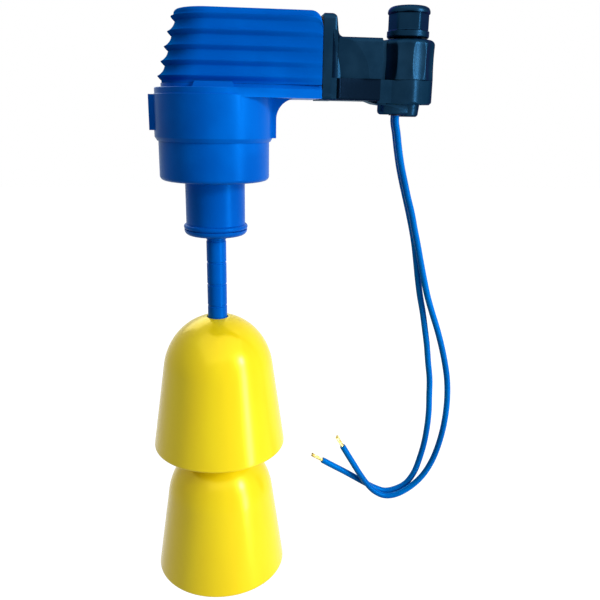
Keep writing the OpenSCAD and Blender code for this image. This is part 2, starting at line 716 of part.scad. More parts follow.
// Bracket: a bent sheet that carries the snap switch and the lever's pin
module switch_bracket() {
    ear_w = 8;
    ear_x = pin_x - ear_w / 2;
    plate_end = switch_x + switch_l - 1;
    color(steel) difference() {
        union() {
            translate([ear_x, -bracket_y - bracket_t, arm_floor_z]) cube([ear_w,
                2 * (bracket_y + bracket_t), bracket_t]);
            translate([bracket_screw_x - 3, -3, arm_floor_z]) cube([6, 6, bracket_t]);
            translate([ear_x, -bracket_y - bracket_t, arm_floor_z]) cube([ear_w, bracket_t,
                pin_z + 2.5 - arm_floor_z]);
            translate([ear_x, bracket_y, arm_floor_z]) cube([ear_w, bracket_t,
                switch_z + 7 - arm_floor_z]);
            translate([switch_x + 0.6, bracket_y, switch_z]) cube([plate_end - switch_x - 0.6,
                bracket_t, 7]);
        }
        translate([pin_x, 0, pin_z]) rotate([90, 0, 0]) cylinder(r = pin_r + seat_fit, h = 30,
            center = true, $fn = 24);
        for (x = switch_hole_x) translate([x, 0, switch_hole_z]) rotate([90, 0, 0])
            cylinder(r = screw_r, h = 30, center = true, $fn = 24);
        translate([bracket_screw_x, 0, arm_floor_z - over]) cylinder(r = 1.2 + seat_fit,
            h = bracket_t + 2 * over, $fn = 24);
    }
}

module bracket_screw() {
    color(steel) translate([bracket_screw_x, 0, 0]) {
        translate([0, 0, arm_z + 0.8]) cylinder(r = 1.2, h = arm_floor_z + bracket_t - arm_z - 0.8,
            $fn = 24);
        translate([0, 0, arm_floor_z + bracket_t]) cylinder(r1 = 2.2, r2 = 1.8, h = 1, $fn = 24);
    }
}

module switch_body() {
    color(black) difference() {
        union() {
            translate([switch_x, -switch_t / 2, switch_z]) cube([switch_l, switch_t, switch_h]);
            translate([plunger_x, 0, switch_z - 0.5]) cylinder(r = 2.4, h = 1);
        }
        translate([plunger_x, 0, switch_z - over]) cylinder(r = 1.2 + run_fit, h = 5 + over, $fn = 32);
        for (x = switch_hole_x) translate([x, 0, switch_hole_z]) rotate([90, 0, 0])
            cylinder(r = screw_r, h = 30, center = true, $fn = 24);
        // parting groove of the switch's two halves
        translate([switch_x - over, switch_t / 2 - 1.6, switch_z + switch_h - 0.4])
            cube([switch_l + 2 * over, 0.4, 1]);
    }
}

module switch_terminals() {
    color(brass) for (x = [for (k = [-1:1]) switch_x + switch_l * (0.47 + 0.36 * k)]) difference() {
        translate([x - 1.6, -0.4, switch_z + switch_h]) cube([3.2, 0.8, 4]);
        translate([x, 0, switch_z + switch_h + 2.4]) rotate([90, 0, 0]) cylinder(r = 0.8, h = 4,
            center = true, $fn = 24);
    }
}

module switch_screws() {
    color(steel) for (x = switch_hole_x) translate([x, 0, switch_hole_z]) rotate([90, 0, 0]) {
        translate([0, 0, -bracket_y - bracket_t]) cylinder(r = screw_r - seat_fit,
            h = 2 * bracket_y + bracket_t, $fn = 24);
        translate([0, 0, switch_t / 2]) cylinder(r1 = 2.4, r2 = 2, h = 1.2, $fn = 24);
    }
}

module switch_plunger() {
    color([0.8, 0.2, 0.15]) {
        translate([plunger_x, 0, plunger_z + 0.6]) cylinder(r = 1.2, h = 4.2, $fn = 32);
        translate([plunger_x, 0, plunger_z]) cylinder(r1 = 0.7, r2 = 1.2, h = 0.6, $fn = 32);
    }
}

// Lever: a sheet with a rolled eye on the pin, which carries the magnet over the chamber
module switch_lever() {
    tail = lever_magnet_r + 1;
    eye_r = pin_r + 0.8;
    color(steel) difference() {
        union() {
            translate([0, 0, lever_z]) cylinder(r = tail, h = lever_t);
            translate([0, -lever_w / 2, lever_z]) cube([pin_x, lever_w, lever_t]);
            translate([pin_x, 0, pin_z]) rotate([90, 0, 0]) cylinder(r = eye_r, h = lever_w,
                center = true, $fn = 32);
        }
        translate([pin_x, 0, pin_z]) rotate([90, 0, 0]) cylinder(r = pin_r + run_fit,
            h = lever_w + 2 * over, center = true, $fn = 32);
        translate([12, 0, lever_z - over]) cylinder(r = 2, h = lever_t + 2 * over, $fn = 32);
    }
}

module lever_magnet() {
    color(steel) translate([0, 0, lever_magnet_z]) cylinder(r = lever_magnet_r, h = lever_magnet_t);
}

module lever_pin() {
    color(steel) translate([pin_x, 0, pin_z]) rotate([90, 0, 0])
        cylinder(r = pin_r, h = 2 * (bracket_y + bracket_t) + 0.6, center = true, $fn = 24);
}

// Connector: the socket's flange on the housing's end
module flange_seal() {
    color(rubber) difference() {
        along_x(cover_reach, flange_x) translate([0, flange_z + 0.5]) rounded_rect(flange_w - 1,
            flange_h - 1.6, 2);
        translate([cover_reach - over, -insert_w / 2 - 0.2, arm_floor_z])
            cube([flange_seal_t + 2 * over, insert_w + 0.4, insert_top + 0.2 - arm_floor_z]);
        at_flange_screws() rotate([0, 90, 0]) cylinder(r = flange_screw_r + 0.2, h = 6, center = true,
            $fn = 24);
    }
}

module at_flange_screws() {
    for (s = [-1, 1]) {
        translate([flange_x, s * (cavity_y - 2.5), flange_z + flange_h - 5.2]) children();
        translate([flange_x, s * (insert_w / 2 + flange_screw_r + 0.6), arm_z + 3.1]) children();
    }
}

module flange_side() {
    top = flange_z + flange_h;
    polygon(concat([[flange_x, flange_z], [plug_x - 0.1, flange_z], [plug_x - 0.1, plug_top]],
        arc(plug_x - 1 - 2.4, top - 2.4, 2.4, 8, 90, 6), arc(flange_x + 0.8, top - 0.8, 0.8, 90, 180, 3)));
}

// Finger hollows in both sides of the plug, which sweep out to the flange's ridge
module finger_hollows() {
    ball_r = (scoop_r * scoop_r + scoop_depth * scoop_depth) / (2 * scoop_depth);
    floor_y = plug_w / 2 - scoop_depth;
    sweep_x = ridge_x + sqrt(sweep_r * sweep_r - pow(sweep_r - flange_w / 2 + floor_y + 0.35, 2));
    for (s = [-1, 1]) intersection() {
        translate([scoop_x, s * (floor_y + ball_r), split_z]) sphere(ball_r, $fn = 120);
        union() {
            translate([sweep_x, s * (floor_y + 0.35 + sweep_r), split_z]) cylinder(r = sweep_r,
                h = flange_h, $fn = 96);
            translate([sweep_x, s > 0 ? 0 : -plug_w, split_z]) cube([plug_l, plug_w, flange_h]);
        }
    }
}

module socket_flange() {
    color(black) difference() {
        union() {
            intersection() {
                along_y(flange_w + 2) flange_side();
                along_x(flange_x - over, plug_x + over) translate([0, flange_z]) rounded_rect(flange_w,
                    flange_h, 2.6);
                translate([0, 0, flange_z - over]) linear_extrude(flange_h + 2 * over) {
                    translate([flange_x - over, -flange_w / 2]) square([plug_x - flange_x - 1.5, flange_w]);
                    translate([flange_x - over, -flange_w / 2 + 2.4]) square([flange_t + 2 * over,
                        flange_w - 4.8]);
                    for (s = [-1, 1]) translate([plug_x - 2.5, s * (flange_w / 2 - 2.4)]) circle(2.4);
                }
            }
            translate([cavity_end + 0.3, -insert_w / 2, arm_floor_z + 0.2])
                cube([flange_x - cavity_end - 0.2, insert_w, insert_top - arm_floor_z - 0.2]);
        }
        for (b = blades) translate([0, b[0], blade_mid + b[1]])
            cube([4 * plug_x, blade_w + 2 * seat_fit, blade_t + 2 * seat_fit], center = true);
        at_flange_screws() rotate([0, 90, 0]) {
            cylinder(r = flange_screw_r + seat_fit, h = 30, center = true, $fn = 24);
            translate([0, 0, flange_t - 2]) cylinder(r = flange_screw_r + 1.2, h = 3, $fn = 32);
        }
        finger_hollows();
        // step beside the lower shell
        for (s = [-1, 1]) translate([ridge_x, s > 0 ? flange_w / 2 - 0.8 : -flange_w / 2 - over,
            flange_z - over]) cube([flange_t, 0.8 + over, split_z - flange_z + over]);
    }
}

module flange_screws() {
    color(steel) at_flange_screws() rotate([0, 90, 0]) difference() {
        union() {
            translate([0, 0, 0.2 - flange_seal_t - end_wall])
                cylinder(r = flange_screw_r, h = flange_t - 2.1 + flange_seal_t + end_wall, $fn = 24);
            translate([0, 0, flange_t - 2]) cylinder(r1 = flange_screw_r + 1,
                r2 = flange_screw_r + 0.7, h = 1.4, $fn = 32);
        }
        translate([0, 0, flange_t - 0.6]) cube([0.8, 6, 1.4], center = true);
    }
}

module contact_blades() {
    color(brass) for (b = blades) translate([cavity_end - 1, b[0] - blade_w / 2,
        blade_mid + b[1] - blade_t / 2])
        cube([plug_x + blade_l - cavity_end + 1, blade_w, blade_t]);
}

module plug_seal() {
    color(rubber) along_x(plug_x - 0.1, plug_x + 0.5) difference() {
        translate([0, plug_z + 1.2]) rounded_rect(insert_w + 1.3, plug_h - 2.4, 2);
        translate([0, plug_z + 3]) rounded_rect(insert_w - 0.1, plug_h - 6, 1.5);
    }
}

// Inside of both plug shells
module plug_cavity() {
    translate([plug_x - over, -insert_w / 2, plug_z + shell_wall])
        cube([plug_l - shell_end + over, insert_w, plug_h - 2 * shell_wall]);
    translate([plug_x - over, -insert_w / 2 - 0.7, plug_z + 1.1]) cube([0.7 + over, insert_w + 1.4,
        plug_h - 2.2]);
}

module at_shell_screws() {
    for (s = [-1, 1]) translate([plug_end - 2.8, s * 7, 0]) children();
}

module plug_upper_shell() {
    half = plug_w / 2;
    blend = 2.2;
    color(black) difference() {
        union() {
            intersection() {
                translate([plug_x, -half, split_z]) cube([plug_l, plug_w, plug_top - split_z]);
                along_x(plug_x - over, plug_end + over) translate([0, split_z - 5]) rounded_rect(plug_w,
                    plug_top - split_z + 5, 2);
            }
            // the top sweeps up to the flange
            along_y(plug_w - 5) polygon(concat([[plug_x, plug_top - over]], arc(plug_x + blend,
                plug_top + blend, blend, 180, 270, 5), [[plug_x + blend, plug_top - over]]));
        }
        plug_cavity();
        finger_hollows();
        // the way through to the gland
        translate([plug_end - shell_end - over, -passage_w / 2, passage_z])
            cube([shell_end + 2 * over, passage_w, passage_h]);
        at_shell_screws() translate([0, 0, split_z - over]) cylinder(r = 1.3 + seat_fit, h = 9 + over,
            $fn = 24);
    }
}

module plug_lower_shell() {
    w = plug_w - 2 * shell_step;
    color(black) difference() {
        union() {
            along_x(plug_x, plug_end) translate([0, plug_z]) difference() {
                rounded_rect(w, lower_shell_h + 5, 1.6);
                translate([-w, lower_shell_h]) square([2 * w, 10]);
            }
            // start of the chin
            along_y(chin_w) polygon([[plug_end - 4.2, plug_z + 0.1], [plug_end, plug_z - 1.2],
                [plug_end, plug_z + 0.1]]);
        }
        plug_cavity();
        at_shell_screws() {
            translate([0, 0, plug_z - 5]) cylinder(r = 1.3 + seat_fit, h = 30, $fn = 24);
            translate([0, 0, plug_z - 5]) cylinder(r = 2.4, h = 6.8, $fn = 32);
        }
    }
    // upright rib beside the flange, on both sides
    color(black) for (s = [-1, 1]) translate([plug_x + 0.8, s * w / 2, plug_z + 0.8])
        cylinder(r = 0.7, h = lower_shell_h - 0.8, $fn = 24);
}

module shell_screws() {
    color(steel) at_shell_screws() difference() {
        union() {
            translate([0, 0, plug_z + 1.8]) cylinder(r = 1.3, h = lower_shell_h + 6, $fn = 24);
            translate([0, 0, plug_z + 0.4]) cylinder(r1 = 1.9, r2 = 2.2, h = 1.4, $fn = 32);
        }
        translate([0, 0, plug_z + 0.4]) cube([0.6, 6, 1.2], center = true);
    }
}

module contact_block() {
    block_x = plug_x + 1;
    block_l = plug_l - shell_end - 1.4;
    color(black) difference() {
        translate([block_x, -insert_w / 2 + 0.3, plug_z + shell_wall + 0.3])
            cube([block_l, insert_w - 0.6, plug_h - 2 * shell_wall - 0.6]);
        for (b = blades) translate([block_x, b[0], blade_mid + b[1]])
            cube([18, blade_w + 0.2, blade_t + 0.4], center = true);
        for (b = blades) translate([block_x + block_l, b[0], blade_mid + b[1]]) rotate([0, 90, 0])
            cylinder(r = 1.6, h = 5, center = true, $fn = 24);
    }
}

// Gland: fluted column over a hexagonal foot
module gland_column() {
    top_round = 2.4;
    height = column_top - split_z;
    thread_h = thread_top - column_top;
    color(black) translate([column_x, 0, split_z]) difference() {
        union() {
            difference() {
                union() {
                    rotate_extrude($fn = 96) polygon(concat([[0, 0], [column_r, 0]],
                        arc(column_r - top_round, height - top_round, top_round, 0, 90, 8), [[0, height]]));
                    translate([plug_end - column_x, -block_w / 2 + 2, 0]) cube([8, block_w - 4,
                        height - 0.6]);
                    translate([plug_end - column_x + seam_w, -block_w / 2, 0]) cube([8 - seam_w,
                        block_w, height - 0.6]);
                }
                for (i = [0:flute_count - 1]) rotate([0, 0, (i + 0.5) * 360 / flute_count])
                    if (abs(i + 0.5 - flute_count / 2) > flute_count / 7) {
                        translate([column_r + 0.9, 0, -over]) cylinder(r = flute_r,
                            h = height - 4 + over, $fn = 32);
                        translate([column_r + 0.9, 0, height - 4]) sphere(flute_r, $fn = 32);
                    }
            }
            translate([0, 0, height]) cylinder(r = thread_r - 0.6, h = thread_h);
            translate([0, 0, height - 0.1]) cylinder(r = thread_r + 0.8, h = 0.7);
            for (z = [1.4:1.5:thread_h - 0.8]) translate([0, 0, height + z]) cylinder(r = thread_r,
                h = 0.8);
        }
        translate([0, 0, 3]) cylinder(r = blank_r + 0.4, h = height + thread_h, $fn = 48);
        translate([0, 0, height + thread_h - 3.2]) cylinder(r = ring_r + seat_fit, h = 3.2 + over,
            $fn = 48);
        translate([plug_end - column_x - over, -passage_w / 2, passage_z - split_z])
            cube([14, passage_w, passage_h]);
    }
}

module gland_foot() {
    height = split_z - foot_z;
    boss_x = column_x + 1.8;
    boss_z = chin_z - 0.8;
    color(black) difference() {
        union() {
            translate([column_x, 0, foot_z]) intersection() {
                rotate([0, 0, 30]) cylinder(r = foot_r, h = height, $fn = 6);
                rotate_extrude($fn = 96) polygon([[0, 0], [foot_r - 1.9, 0], [foot_r - 0.3, 1.6],
                    [foot_r + 0.1, 4], [foot_r + 0.1, height], [0, height]]);
            }
            translate([plug_end, -block_w / 2 + 1, foot_z + 0.4]) cube([8, block_w - 2, height - 0.4]);
            // the chin that the leads come out of
            along_y(chin_w) polygon([[plug_end, foot_z + 2], [plug_end, plug_z - 1.2],
                [chin_x, plug_z - 2.2], [chin_x, foot_z + 2]]);
            translate([chin_x, 0, chin_z]) rotate_extrude() chin_outline();
            along_x(chin_x, grommet_x + 4) translate([0, chin_z]) {
                chin_outline();
                mirror([1, 0]) chin_outline();
            }
            // the closed outlet beside it
            translate([boss_x, 0, boss_z]) rotate_extrude() polygon(concat([[0, 0], [3.2, 0]],
                arc(3.2, 1.3, 1.3, -90, -15, 4), [[4.9, foot_z - boss_z], [4.9, foot_z - boss_z + 1],
                    [0, foot_z - boss_z + 1]]));
        }
        translate([grommet_x, 0, chin_z - over]) linear_extrude(4 + over) lead_slot(seat_fit);
    }
}

// Half outline of the round chin
module chin_outline() {
    half = chin_w / 2;
    polygon(concat([[0, 0], [half - 1.5, 0]], arc(half - 1.5, 1.5, 1.5, -90, 0, 5), [[half,
        foot_z - chin_z + 1], [0, foot_z - chin_z + 1]]));
}

module lead_slot(grow) {
    half = lead_d / 2 + 0.8 + grow;
    for (s = [-1, 1]) translate([0, s * lead_gap / 2]) circle(half);
    translate([-half, -lead_gap / 2]) square([2 * half, lead_gap]);
}

module lead_grommet() {
    color(rubber) translate([grommet_x, 0, chin_z - 0.3]) difference() {
        linear_extrude(4.2) lead_slot(0);
        for (s = [-1, 1]) translate([0, s * lead_gap / 2, -over]) cylinder(r = lead_d / 2 + seat_fit,
            h = 3.5, $fn = 32);
    }
}

module gland_ring() {
    color(rubber) translate([column_x, 0, thread_top - 3.2]) difference() {
        cylinder(r = ring_r, h = 3.1, $fn = 48);
        translate([0, 0, -over]) cylinder(r = blank_r + seat_fit, h = 3.1 + 2 * over, $fn = 48);
    }
}

module thrust_washer() {
    color(steel) translate([column_x, 0, thread_top]) difference() {
        cylinder(r = thread_r - 0.2, h = 0.8, $fn = 48);
        translate([0, 0, -over]) cylinder(r = blank_r + 0.3, h = 0.8 + 2 * over, $fn = 48);
    }
}

module blanking_plug() {
    color(black) translate([column_x, 0, thread_top - 5.5])
        cylinder(r = blank_r, h = nut_z + nut_h - 0.6 - thread_top + 5.5, $fn = 48);
}

module cap_nut() {
    bore_h = thread_top + 0.9 - nut_z;
    flat_r = nut_r * cos(30) - 0.1;
    color(black) translate([column_x, 0, nut_z]) rotate([0, 0, -nut_turn]) difference() {
        intersection() {
            rotate_extrude($fn = 96) polygon(concat([[0, 0]], arc(nut_r - 0.9, 0.9, 0.9, -90, 0, 4),
                arc(nut_r - 2.3, nut_h - 2.2, 2.2, 0, 90, 6), [[0, nut_h]]));
            union() {
                cylinder(r = flat_r / cos(30), h = nut_h, $fn = 6);
                cylinder(r = nut_r + 1, h = nut_rim - 0.5);
                translate([0, 0, nut_rim - 0.5]) cylinder(r1 = nut_r, r2 = flat_r, h = 0.8);
                translate([0, 0, nut_h - nut_rim - 0.9]) cylinder(r1 = flat_r, r2 = nut_r, h = 0.8);
                translate([0, 0, nut_h - nut_rim - 0.1]) cylinder(r = nut_r + 1, h = nut_rim + 0.1);
            }
        }
        translate([0, 0, -over]) cylinder(r = thread_r + seat_fit, h = bore_h + over, $fn = 48);
        translate([0, 0, -over]) cylinder(r = blank_r + 0.4, h = nut_h + 2 * over, $fn = 48);
    }
}

module lead_a() { color(blue) tube(lead_a_route, lead_d / 2, lead_sides); }
module lead_b() { color(blue) tube(lead_b_route, lead_d / 2, lead_sides); }

// Bare strands that stand straight out of a lead's cut end
module strands(route) {
    last = len(route) - 1;
    d = route_dir(route, last);
    color(brass) translate(route[last]) rotate([0, acos(d[2]), atan2(d[1], d[0])]) {
        cylinder(r = strand_d / 2, h = strand_l - 1.2, $fn = 24);
        translate([0, 0, strand_l - 1.2]) cylinder(r1 = strand_d / 2, r2 = strand_d / 2 - 0.3, h = 1.2,
            $fn = 24);
    }
}

module lead_a_strands() { strands(lead_a_route); }
module lead_b_strands() { strands(lead_b_route); }

base_body();
guide_bush();
cover_seal();
ribbed_cover();
cover_screws();
rod();
magnet_holder();
rod_magnet();
holder_pin();
end_washer();
end_nut();
upper_float();
upper_float_base();
upper_grip_ring();
lower_float();
lower_float_base();
lower_grip_ring();
switch_bracket();
bracket_screw();
switch_body();
switch_terminals();
switch_screws();
switch_plunger();
switch_lever();
lever_magnet();
lever_pin();
flange_seal();
socket_flange();
flange_screws();
contact_blades();
plug_seal();
plug_upper_shell();
plug_lower_shell();
shell_screws();
contact_block();
gland_column();
gland_foot();
gland_ring();
thrust_washer();
blanking_plug();
cap_nut();
lead_grommet();
lead_a();
lead_b();
lead_a_strands();
lead_b_strands();
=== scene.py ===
import json
import math
import bmesh
import bpy
import numpy as np
from mathutils import Matrix, Vector


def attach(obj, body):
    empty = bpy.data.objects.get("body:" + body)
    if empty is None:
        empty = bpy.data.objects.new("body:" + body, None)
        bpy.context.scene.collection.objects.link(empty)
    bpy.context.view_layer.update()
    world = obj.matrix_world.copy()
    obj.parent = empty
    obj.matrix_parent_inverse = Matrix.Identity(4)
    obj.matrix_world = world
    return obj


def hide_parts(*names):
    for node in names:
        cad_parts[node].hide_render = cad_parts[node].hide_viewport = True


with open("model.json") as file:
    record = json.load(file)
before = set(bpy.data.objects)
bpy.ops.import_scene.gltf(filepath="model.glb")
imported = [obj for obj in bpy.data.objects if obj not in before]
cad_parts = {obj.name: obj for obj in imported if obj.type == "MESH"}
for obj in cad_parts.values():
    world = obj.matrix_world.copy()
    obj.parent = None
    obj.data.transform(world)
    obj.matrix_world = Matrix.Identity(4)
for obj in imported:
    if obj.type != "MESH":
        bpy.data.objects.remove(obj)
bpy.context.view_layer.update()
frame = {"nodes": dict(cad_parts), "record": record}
cadNodes = frame["nodes"]
mm = 0.001
rng = np.random.default_rng(7)
print("frame loaded:", len(cadNodes), "nodes")

# camera: place and clipping in metres, angles in radians, lens and sensor in millimetres
cameraView = {"place": (0, -0.2877, 0.0115), "yaw": 0.1316, "pitch": 0.2784, "roll": 0.0171,
              "lens": 38.97, "sensor": 36, "near": 0.01, "far": 20}


def makeCamera(view):
    # looks along the yaw and pitch angles, then rolls about its own axis
    yaw, pitch, roll = view["yaw"], view["pitch"], view["roll"]
    forward = Vector((math.sin(yaw) * math.cos(pitch), math.cos(yaw) * math.cos(pitch),
                      -math.sin(pitch)))
    right = Vector((math.cos(yaw), -math.sin(yaw), 0))
    up = right.cross(forward)
    across = math.cos(roll) * right + math.sin(roll) * up
    upward = math.cos(roll) * up - math.sin(roll) * right
    data = bpy.data.cameras.new("camera")
    data.lens, data.sensor_width = view["lens"], view["sensor"]
    data.clip_start, data.clip_end = view["near"], view["far"]
    camera = bpy.data.objects.new("camera", data)
    turned = Matrix((across, upward, -forward)).transposed().to_4x4()
    turned.translation = Vector(view["place"])
    camera.matrix_world = turned
    bpy.context.scene.collection.objects.link(camera)
    bpy.context.scene.camera = camera


makeCamera(cameraView)
print("camera placed")


class Value:
    # wraps a socket, so that arithmetic on it adds Math nodes
    def __init__(self, tree, socket):
        self.tree, self.socket = tree, socket

    def maths(self, operation, *items):
        node = self.tree.nodes.new("ShaderNodeMath")
        node.operation = operation
        for place, item in zip(node.inputs, items):
            if isinstance(item, Value):
                self.tree.links.new(item.socket, place)
            else:
                place.default_value = item
        return Value(self.tree, node.outputs[0])

    def __add__(self, other):
        return self.maths("ADD", self, other)

    def __sub__(self, other):
        return self.maths("SUBTRACT", self, other)

    def __rsub__(self, other):
        return self.maths("SUBTRACT", other, self)

    def __mul__(self, other):
        return self.maths("MULTIPLY", self, other)

    __radd__ = __add__
    __rmul__ = __mul__


class Finish:
    # a material with one Principled surface, whose fixed sockets are set from a dictionary
    def __init__(self, name, fixed):
        self.material = bpy.data.materials.new(name)
        self.material.use_nodes = True
        self.tree = self.material.node_tree
        self.surface = self.tree.nodes["Principled BSDF"]
        for socket, value in fixed.items():
            self.feed(self.surface.inputs[socket], value)

    def feed(self, place, value):
        if isinstance(value, Value):
            self.tree.links.new(value.socket, place)
        elif place.type == "RGBA" and len(value) == 3:
            place.default_value = (*value, 1)
        else:
            place.default_value = value

    def node(self, kind, settings=None, sockets=None, output=0):
        made = self.tree.nodes.new(kind)
        for key, value in (settings or {}).items():
            setattr(made, key, value)
        for key, value in (sockets or {}).items():
            self.feed(made.inputs[key], value)
        return Value(self.tree, made.outputs[output])

    def coordinates(self, stretch=(1, 1, 1)):
        place = self.node("ShaderNodeTexCoord", output="Object")
        return self.node("ShaderNodeMapping", sockets={"Vector": place, "Scale": stretch})

    def noise(self, scale, detail=2, stretch=(1, 1, 1)):
        # the scale is in cells per metre; a stretch above 1 crowds the cells along that axis
        return self.node("ShaderNodeTexNoise", sockets={"Vector": self.coordinates(stretch),
                                                        "Scale": scale, "Detail": detail})

    def band(self, value, low, high, toLow=0.0, toHigh=1.0):
        # maps low..high smoothly to toLow..toHigh and holds it outside
        return self.node("ShaderNodeMapRange", {"interpolation_type": "SMOOTHSTEP"},
                         {"Value": value, "From Min": low, "From Max": high,
                          "To Min": toLow, "To Max": toHigh})

    def mixColour(self, factor, first, second):
        # a Mix node has its two colours at the inputs 6 and 7, and their mix at the output 2
        return self.node("ShaderNodeMix", {"data_type": "RGBA"},
                         {0: factor, 6: first, 7: second}, output=2)

    def twoTone(self, pattern, look):
        # from the shade to the light, as the pattern rises through the look's tone band
        tone = self.band(pattern, *look["toneBand"])
        self.feed(self.surface.inputs["Base Color"],
                  self.mixColour(tone, look["shade"], look["light"]))

    def roughness(self, value):
        self.feed(self.surface.inputs["Roughness"], value)

    def bump(self, height, look):
        normal = self.node("ShaderNodeBump", sockets={"Height": height, "Strength": look["bump"],
                                                      "Distance": look["bumpDepth"]})
        self.feed(self.surface.inputs["Normal"], normal)


def swing(pattern, amount):
    # a noise pattern about its middle value, times the amount
    return (pattern - 0.5) * amount


def plastic(name, look):
    # pearl is a small share of metal: it tints the shine where a clear gloss would turn it white
    return Finish(name, {"IOR": look["ior"], "Specular IOR Level": look["gloss"],
                         "Specular Tint": look["sheen"], "Metallic": look["pearl"]})


blueLook = {"shade": (0.0, 0.093, 0.50), "light": (0.0, 0.122, 0.60), "toneBand": (0.35, 0.65),
            "ior": 1.5, "gloss": 0.06, "sheen": (0.01, 1.0, 0.70), "pearl": 0.07, "rough": 0.35,
            "cloudScale": 35, "cloudRough": 0.12, "grainScale": 900, "grainRough": 0.08,
            "rubScale": 160, "rubStretch": (1, 1, 7), "rubBand": (0.62, 0.74), "rubShine": 0.06,
            "grainShare": 0.7, "rubShare": 0.3, "bump": 0.12, "bumpDepth": 0.0002}
coverPaint = {**blueLook, "shade": (0.0, 0.094, 0.49), "light": (0.0, 0.120, 0.58),
              "gloss": 0.0, "pearl": 0.03}
leadPaint = {**blueLook, "shade": (0.0, 0.11, 0.46), "light": (0.0, 0.15, 0.58),
             "rough": 0.34, "grainRough": 0.06}


def bluePlastic(name, look):
    # two close blues in large soft clouds, a fine grain in gloss and surface, and a few fine rubs
    finish = plastic(name, look)
    cloud = finish.noise(look["cloudScale"], 3)
    grain = finish.noise(look["grainScale"])
    rub = finish.band(finish.noise(look["rubScale"], 4, look["rubStretch"]), *look["rubBand"])
    finish.twoTone(cloud, look)
    finish.roughness(look["rough"] + swing(cloud, look["cloudRough"])
                     + swing(grain, look["grainRough"]) - rub * look["rubShine"])
    finish.bump(grain * look["grainShare"] + rub * look["rubShare"], look)
    return finish.material


yellowLook = {"shade": (0.90, 0.68, 0.003), "light": (0.94, 0.745, 0.005), "toneBand": (0.3, 0.7),
              "ior": 1.49, "gloss": 0.28, "sheen": (1.0, 0.97, 0.85), "pearl": 0.15,
              "rough": 0.22, "streakScale": 45, "streakStretch": (1, 1, 0.25), "streakRough": 0.1,
              "waveScale": 110, "speckScale": 1400, "speckRough": 0.06, "speckShare": 0.04,
              "bump": 0.10, "bumpDepth": 0.0003}


def yellowPlastic(look):
    # upright streaks in two yellows from the flow in the mould, and slow waves in the gloss
    finish = plastic("yellowPlastic", look)
    streak = finish.noise(look["streakScale"], 3, look["streakStretch"])
    wave = finish.noise(look["waveScale"])
    speck = finish.noise(look["speckScale"], 1)
    finish.twoTone(streak, look)
    finish.roughness(look["rough"] + swing(streak, look["streakRough"])
                     + swing(speck, look["speckRough"]))
    finish.bump(wave + speck * look["speckShare"], look)
    return finish.material


blackLook = {"shade": (0.005, 0.024, 0.053), "light": (0.009, 0.036, 0.074),
             "toneBand": (0.35, 0.65), "ior": 1.5, "gloss": 0.05, "sheen": (0.08, 0.32, 0.46),
             "pearl": 0.85, "rough": 0.36, "cloudScale": 60, "cloudRough": 0.14,
             "grainScale": 1100, "grainRough": 0.10, "bump": 0.16, "bumpDepth": 0.0002}
# painted shade: the black plastic's colours darkened for the plug's lower shell, which sits back in
# shade
paintedShadeLook = {**blackLook, "shade": (0.003, 0.010, 0.024), "light": (0.004, 0.014, 0.033)}


def blackPlastic(name, look):
    # glass-filled plastic: bluish black with a cool gloss, a fine grain and dull patches
    finish = plastic(name, look)
    cloud = finish.noise(look["cloudScale"], 3)
    grain = finish.noise(look["grainScale"])
    finish.twoTone(cloud, look)
    finish.roughness(look["rough"] + swing(cloud, look["cloudRough"])
                     + swing(grain, look["grainRough"]))
    finish.bump(grain, look)
    return finish.material


steelLook = {"colour": (0.60, 0.61, 0.63), "rough": 0.32, "brushed": (1, 1, 12)}
magnetLook = {"colour": (0.42, 0.42, 0.44), "rough": 0.24, "brushed": (1, 1, 6)}
brassLook = {"colour": (0.74, 0.56, 0.24), "rough": 0.30, "brushed": (8, 1, 1)}
brush = {"scale": 400, "rough": 0.2}


def metal(name, look):
    # fine lines run round or along the piece in the gloss
    finish = Finish(name, {"Metallic": 1.0, "Base Color": look["colour"]})
    line = finish.noise(brush["scale"], 2, look["brushed"])
    finish.roughness(look["rough"] + swing(line, brush["rough"]))
    return finish.material


rubberLook = {"colour": (0.012, 0.012, 0.013), "ior": 1.5, "rough": 0.72, "grainScale": 700,
              "grainRough": 0.2, "bump": 0.2, "bumpDepth": 0.0002}


def rubberSkin(look):
    finish = Finish("rubber", {"Base Color": look["colour"], "IOR": look["ior"]})
    grain = finish.noise(look["grainScale"])
    finish.roughness(look["rough"] + swing(grain, look["grainRough"]))
    finish.bump(grain, look)
    return finish.material


redLook = {"colour": (0.45, 0.03, 0.02), "ior": 1.5, "rough": 0.42, "grainScale": 500,
           "grainRough": 0.2}


def redPlastic(look):
    finish = Finish("redPlastic", {"Base Color": look["colour"], "IOR": look["ior"]})
    grain = finish.noise(look["grainScale"])
    finish.roughness(look["rough"] + swing(grain, look["grainRough"]))
    return finish.material


tinnedLook = {"shade": (0.42, 0.32, 0.08), "light": (0.70, 0.60, 0.26), "toneBand": (0.4, 0.6),
              "patchScale": 900, "rough": 0.36, "patchRough": 0.2}


def strandMetal(look):
    # bare copper under thin tin: warm and cool patches along the wires
    finish = Finish("strands", {"Metallic": 1.0})
    patch = finish.noise(look["patchScale"])
    finish.twoTone(patch, look)
    finish.roughness(look["rough"] + swing(patch, look["patchRough"]))
    return finish.material


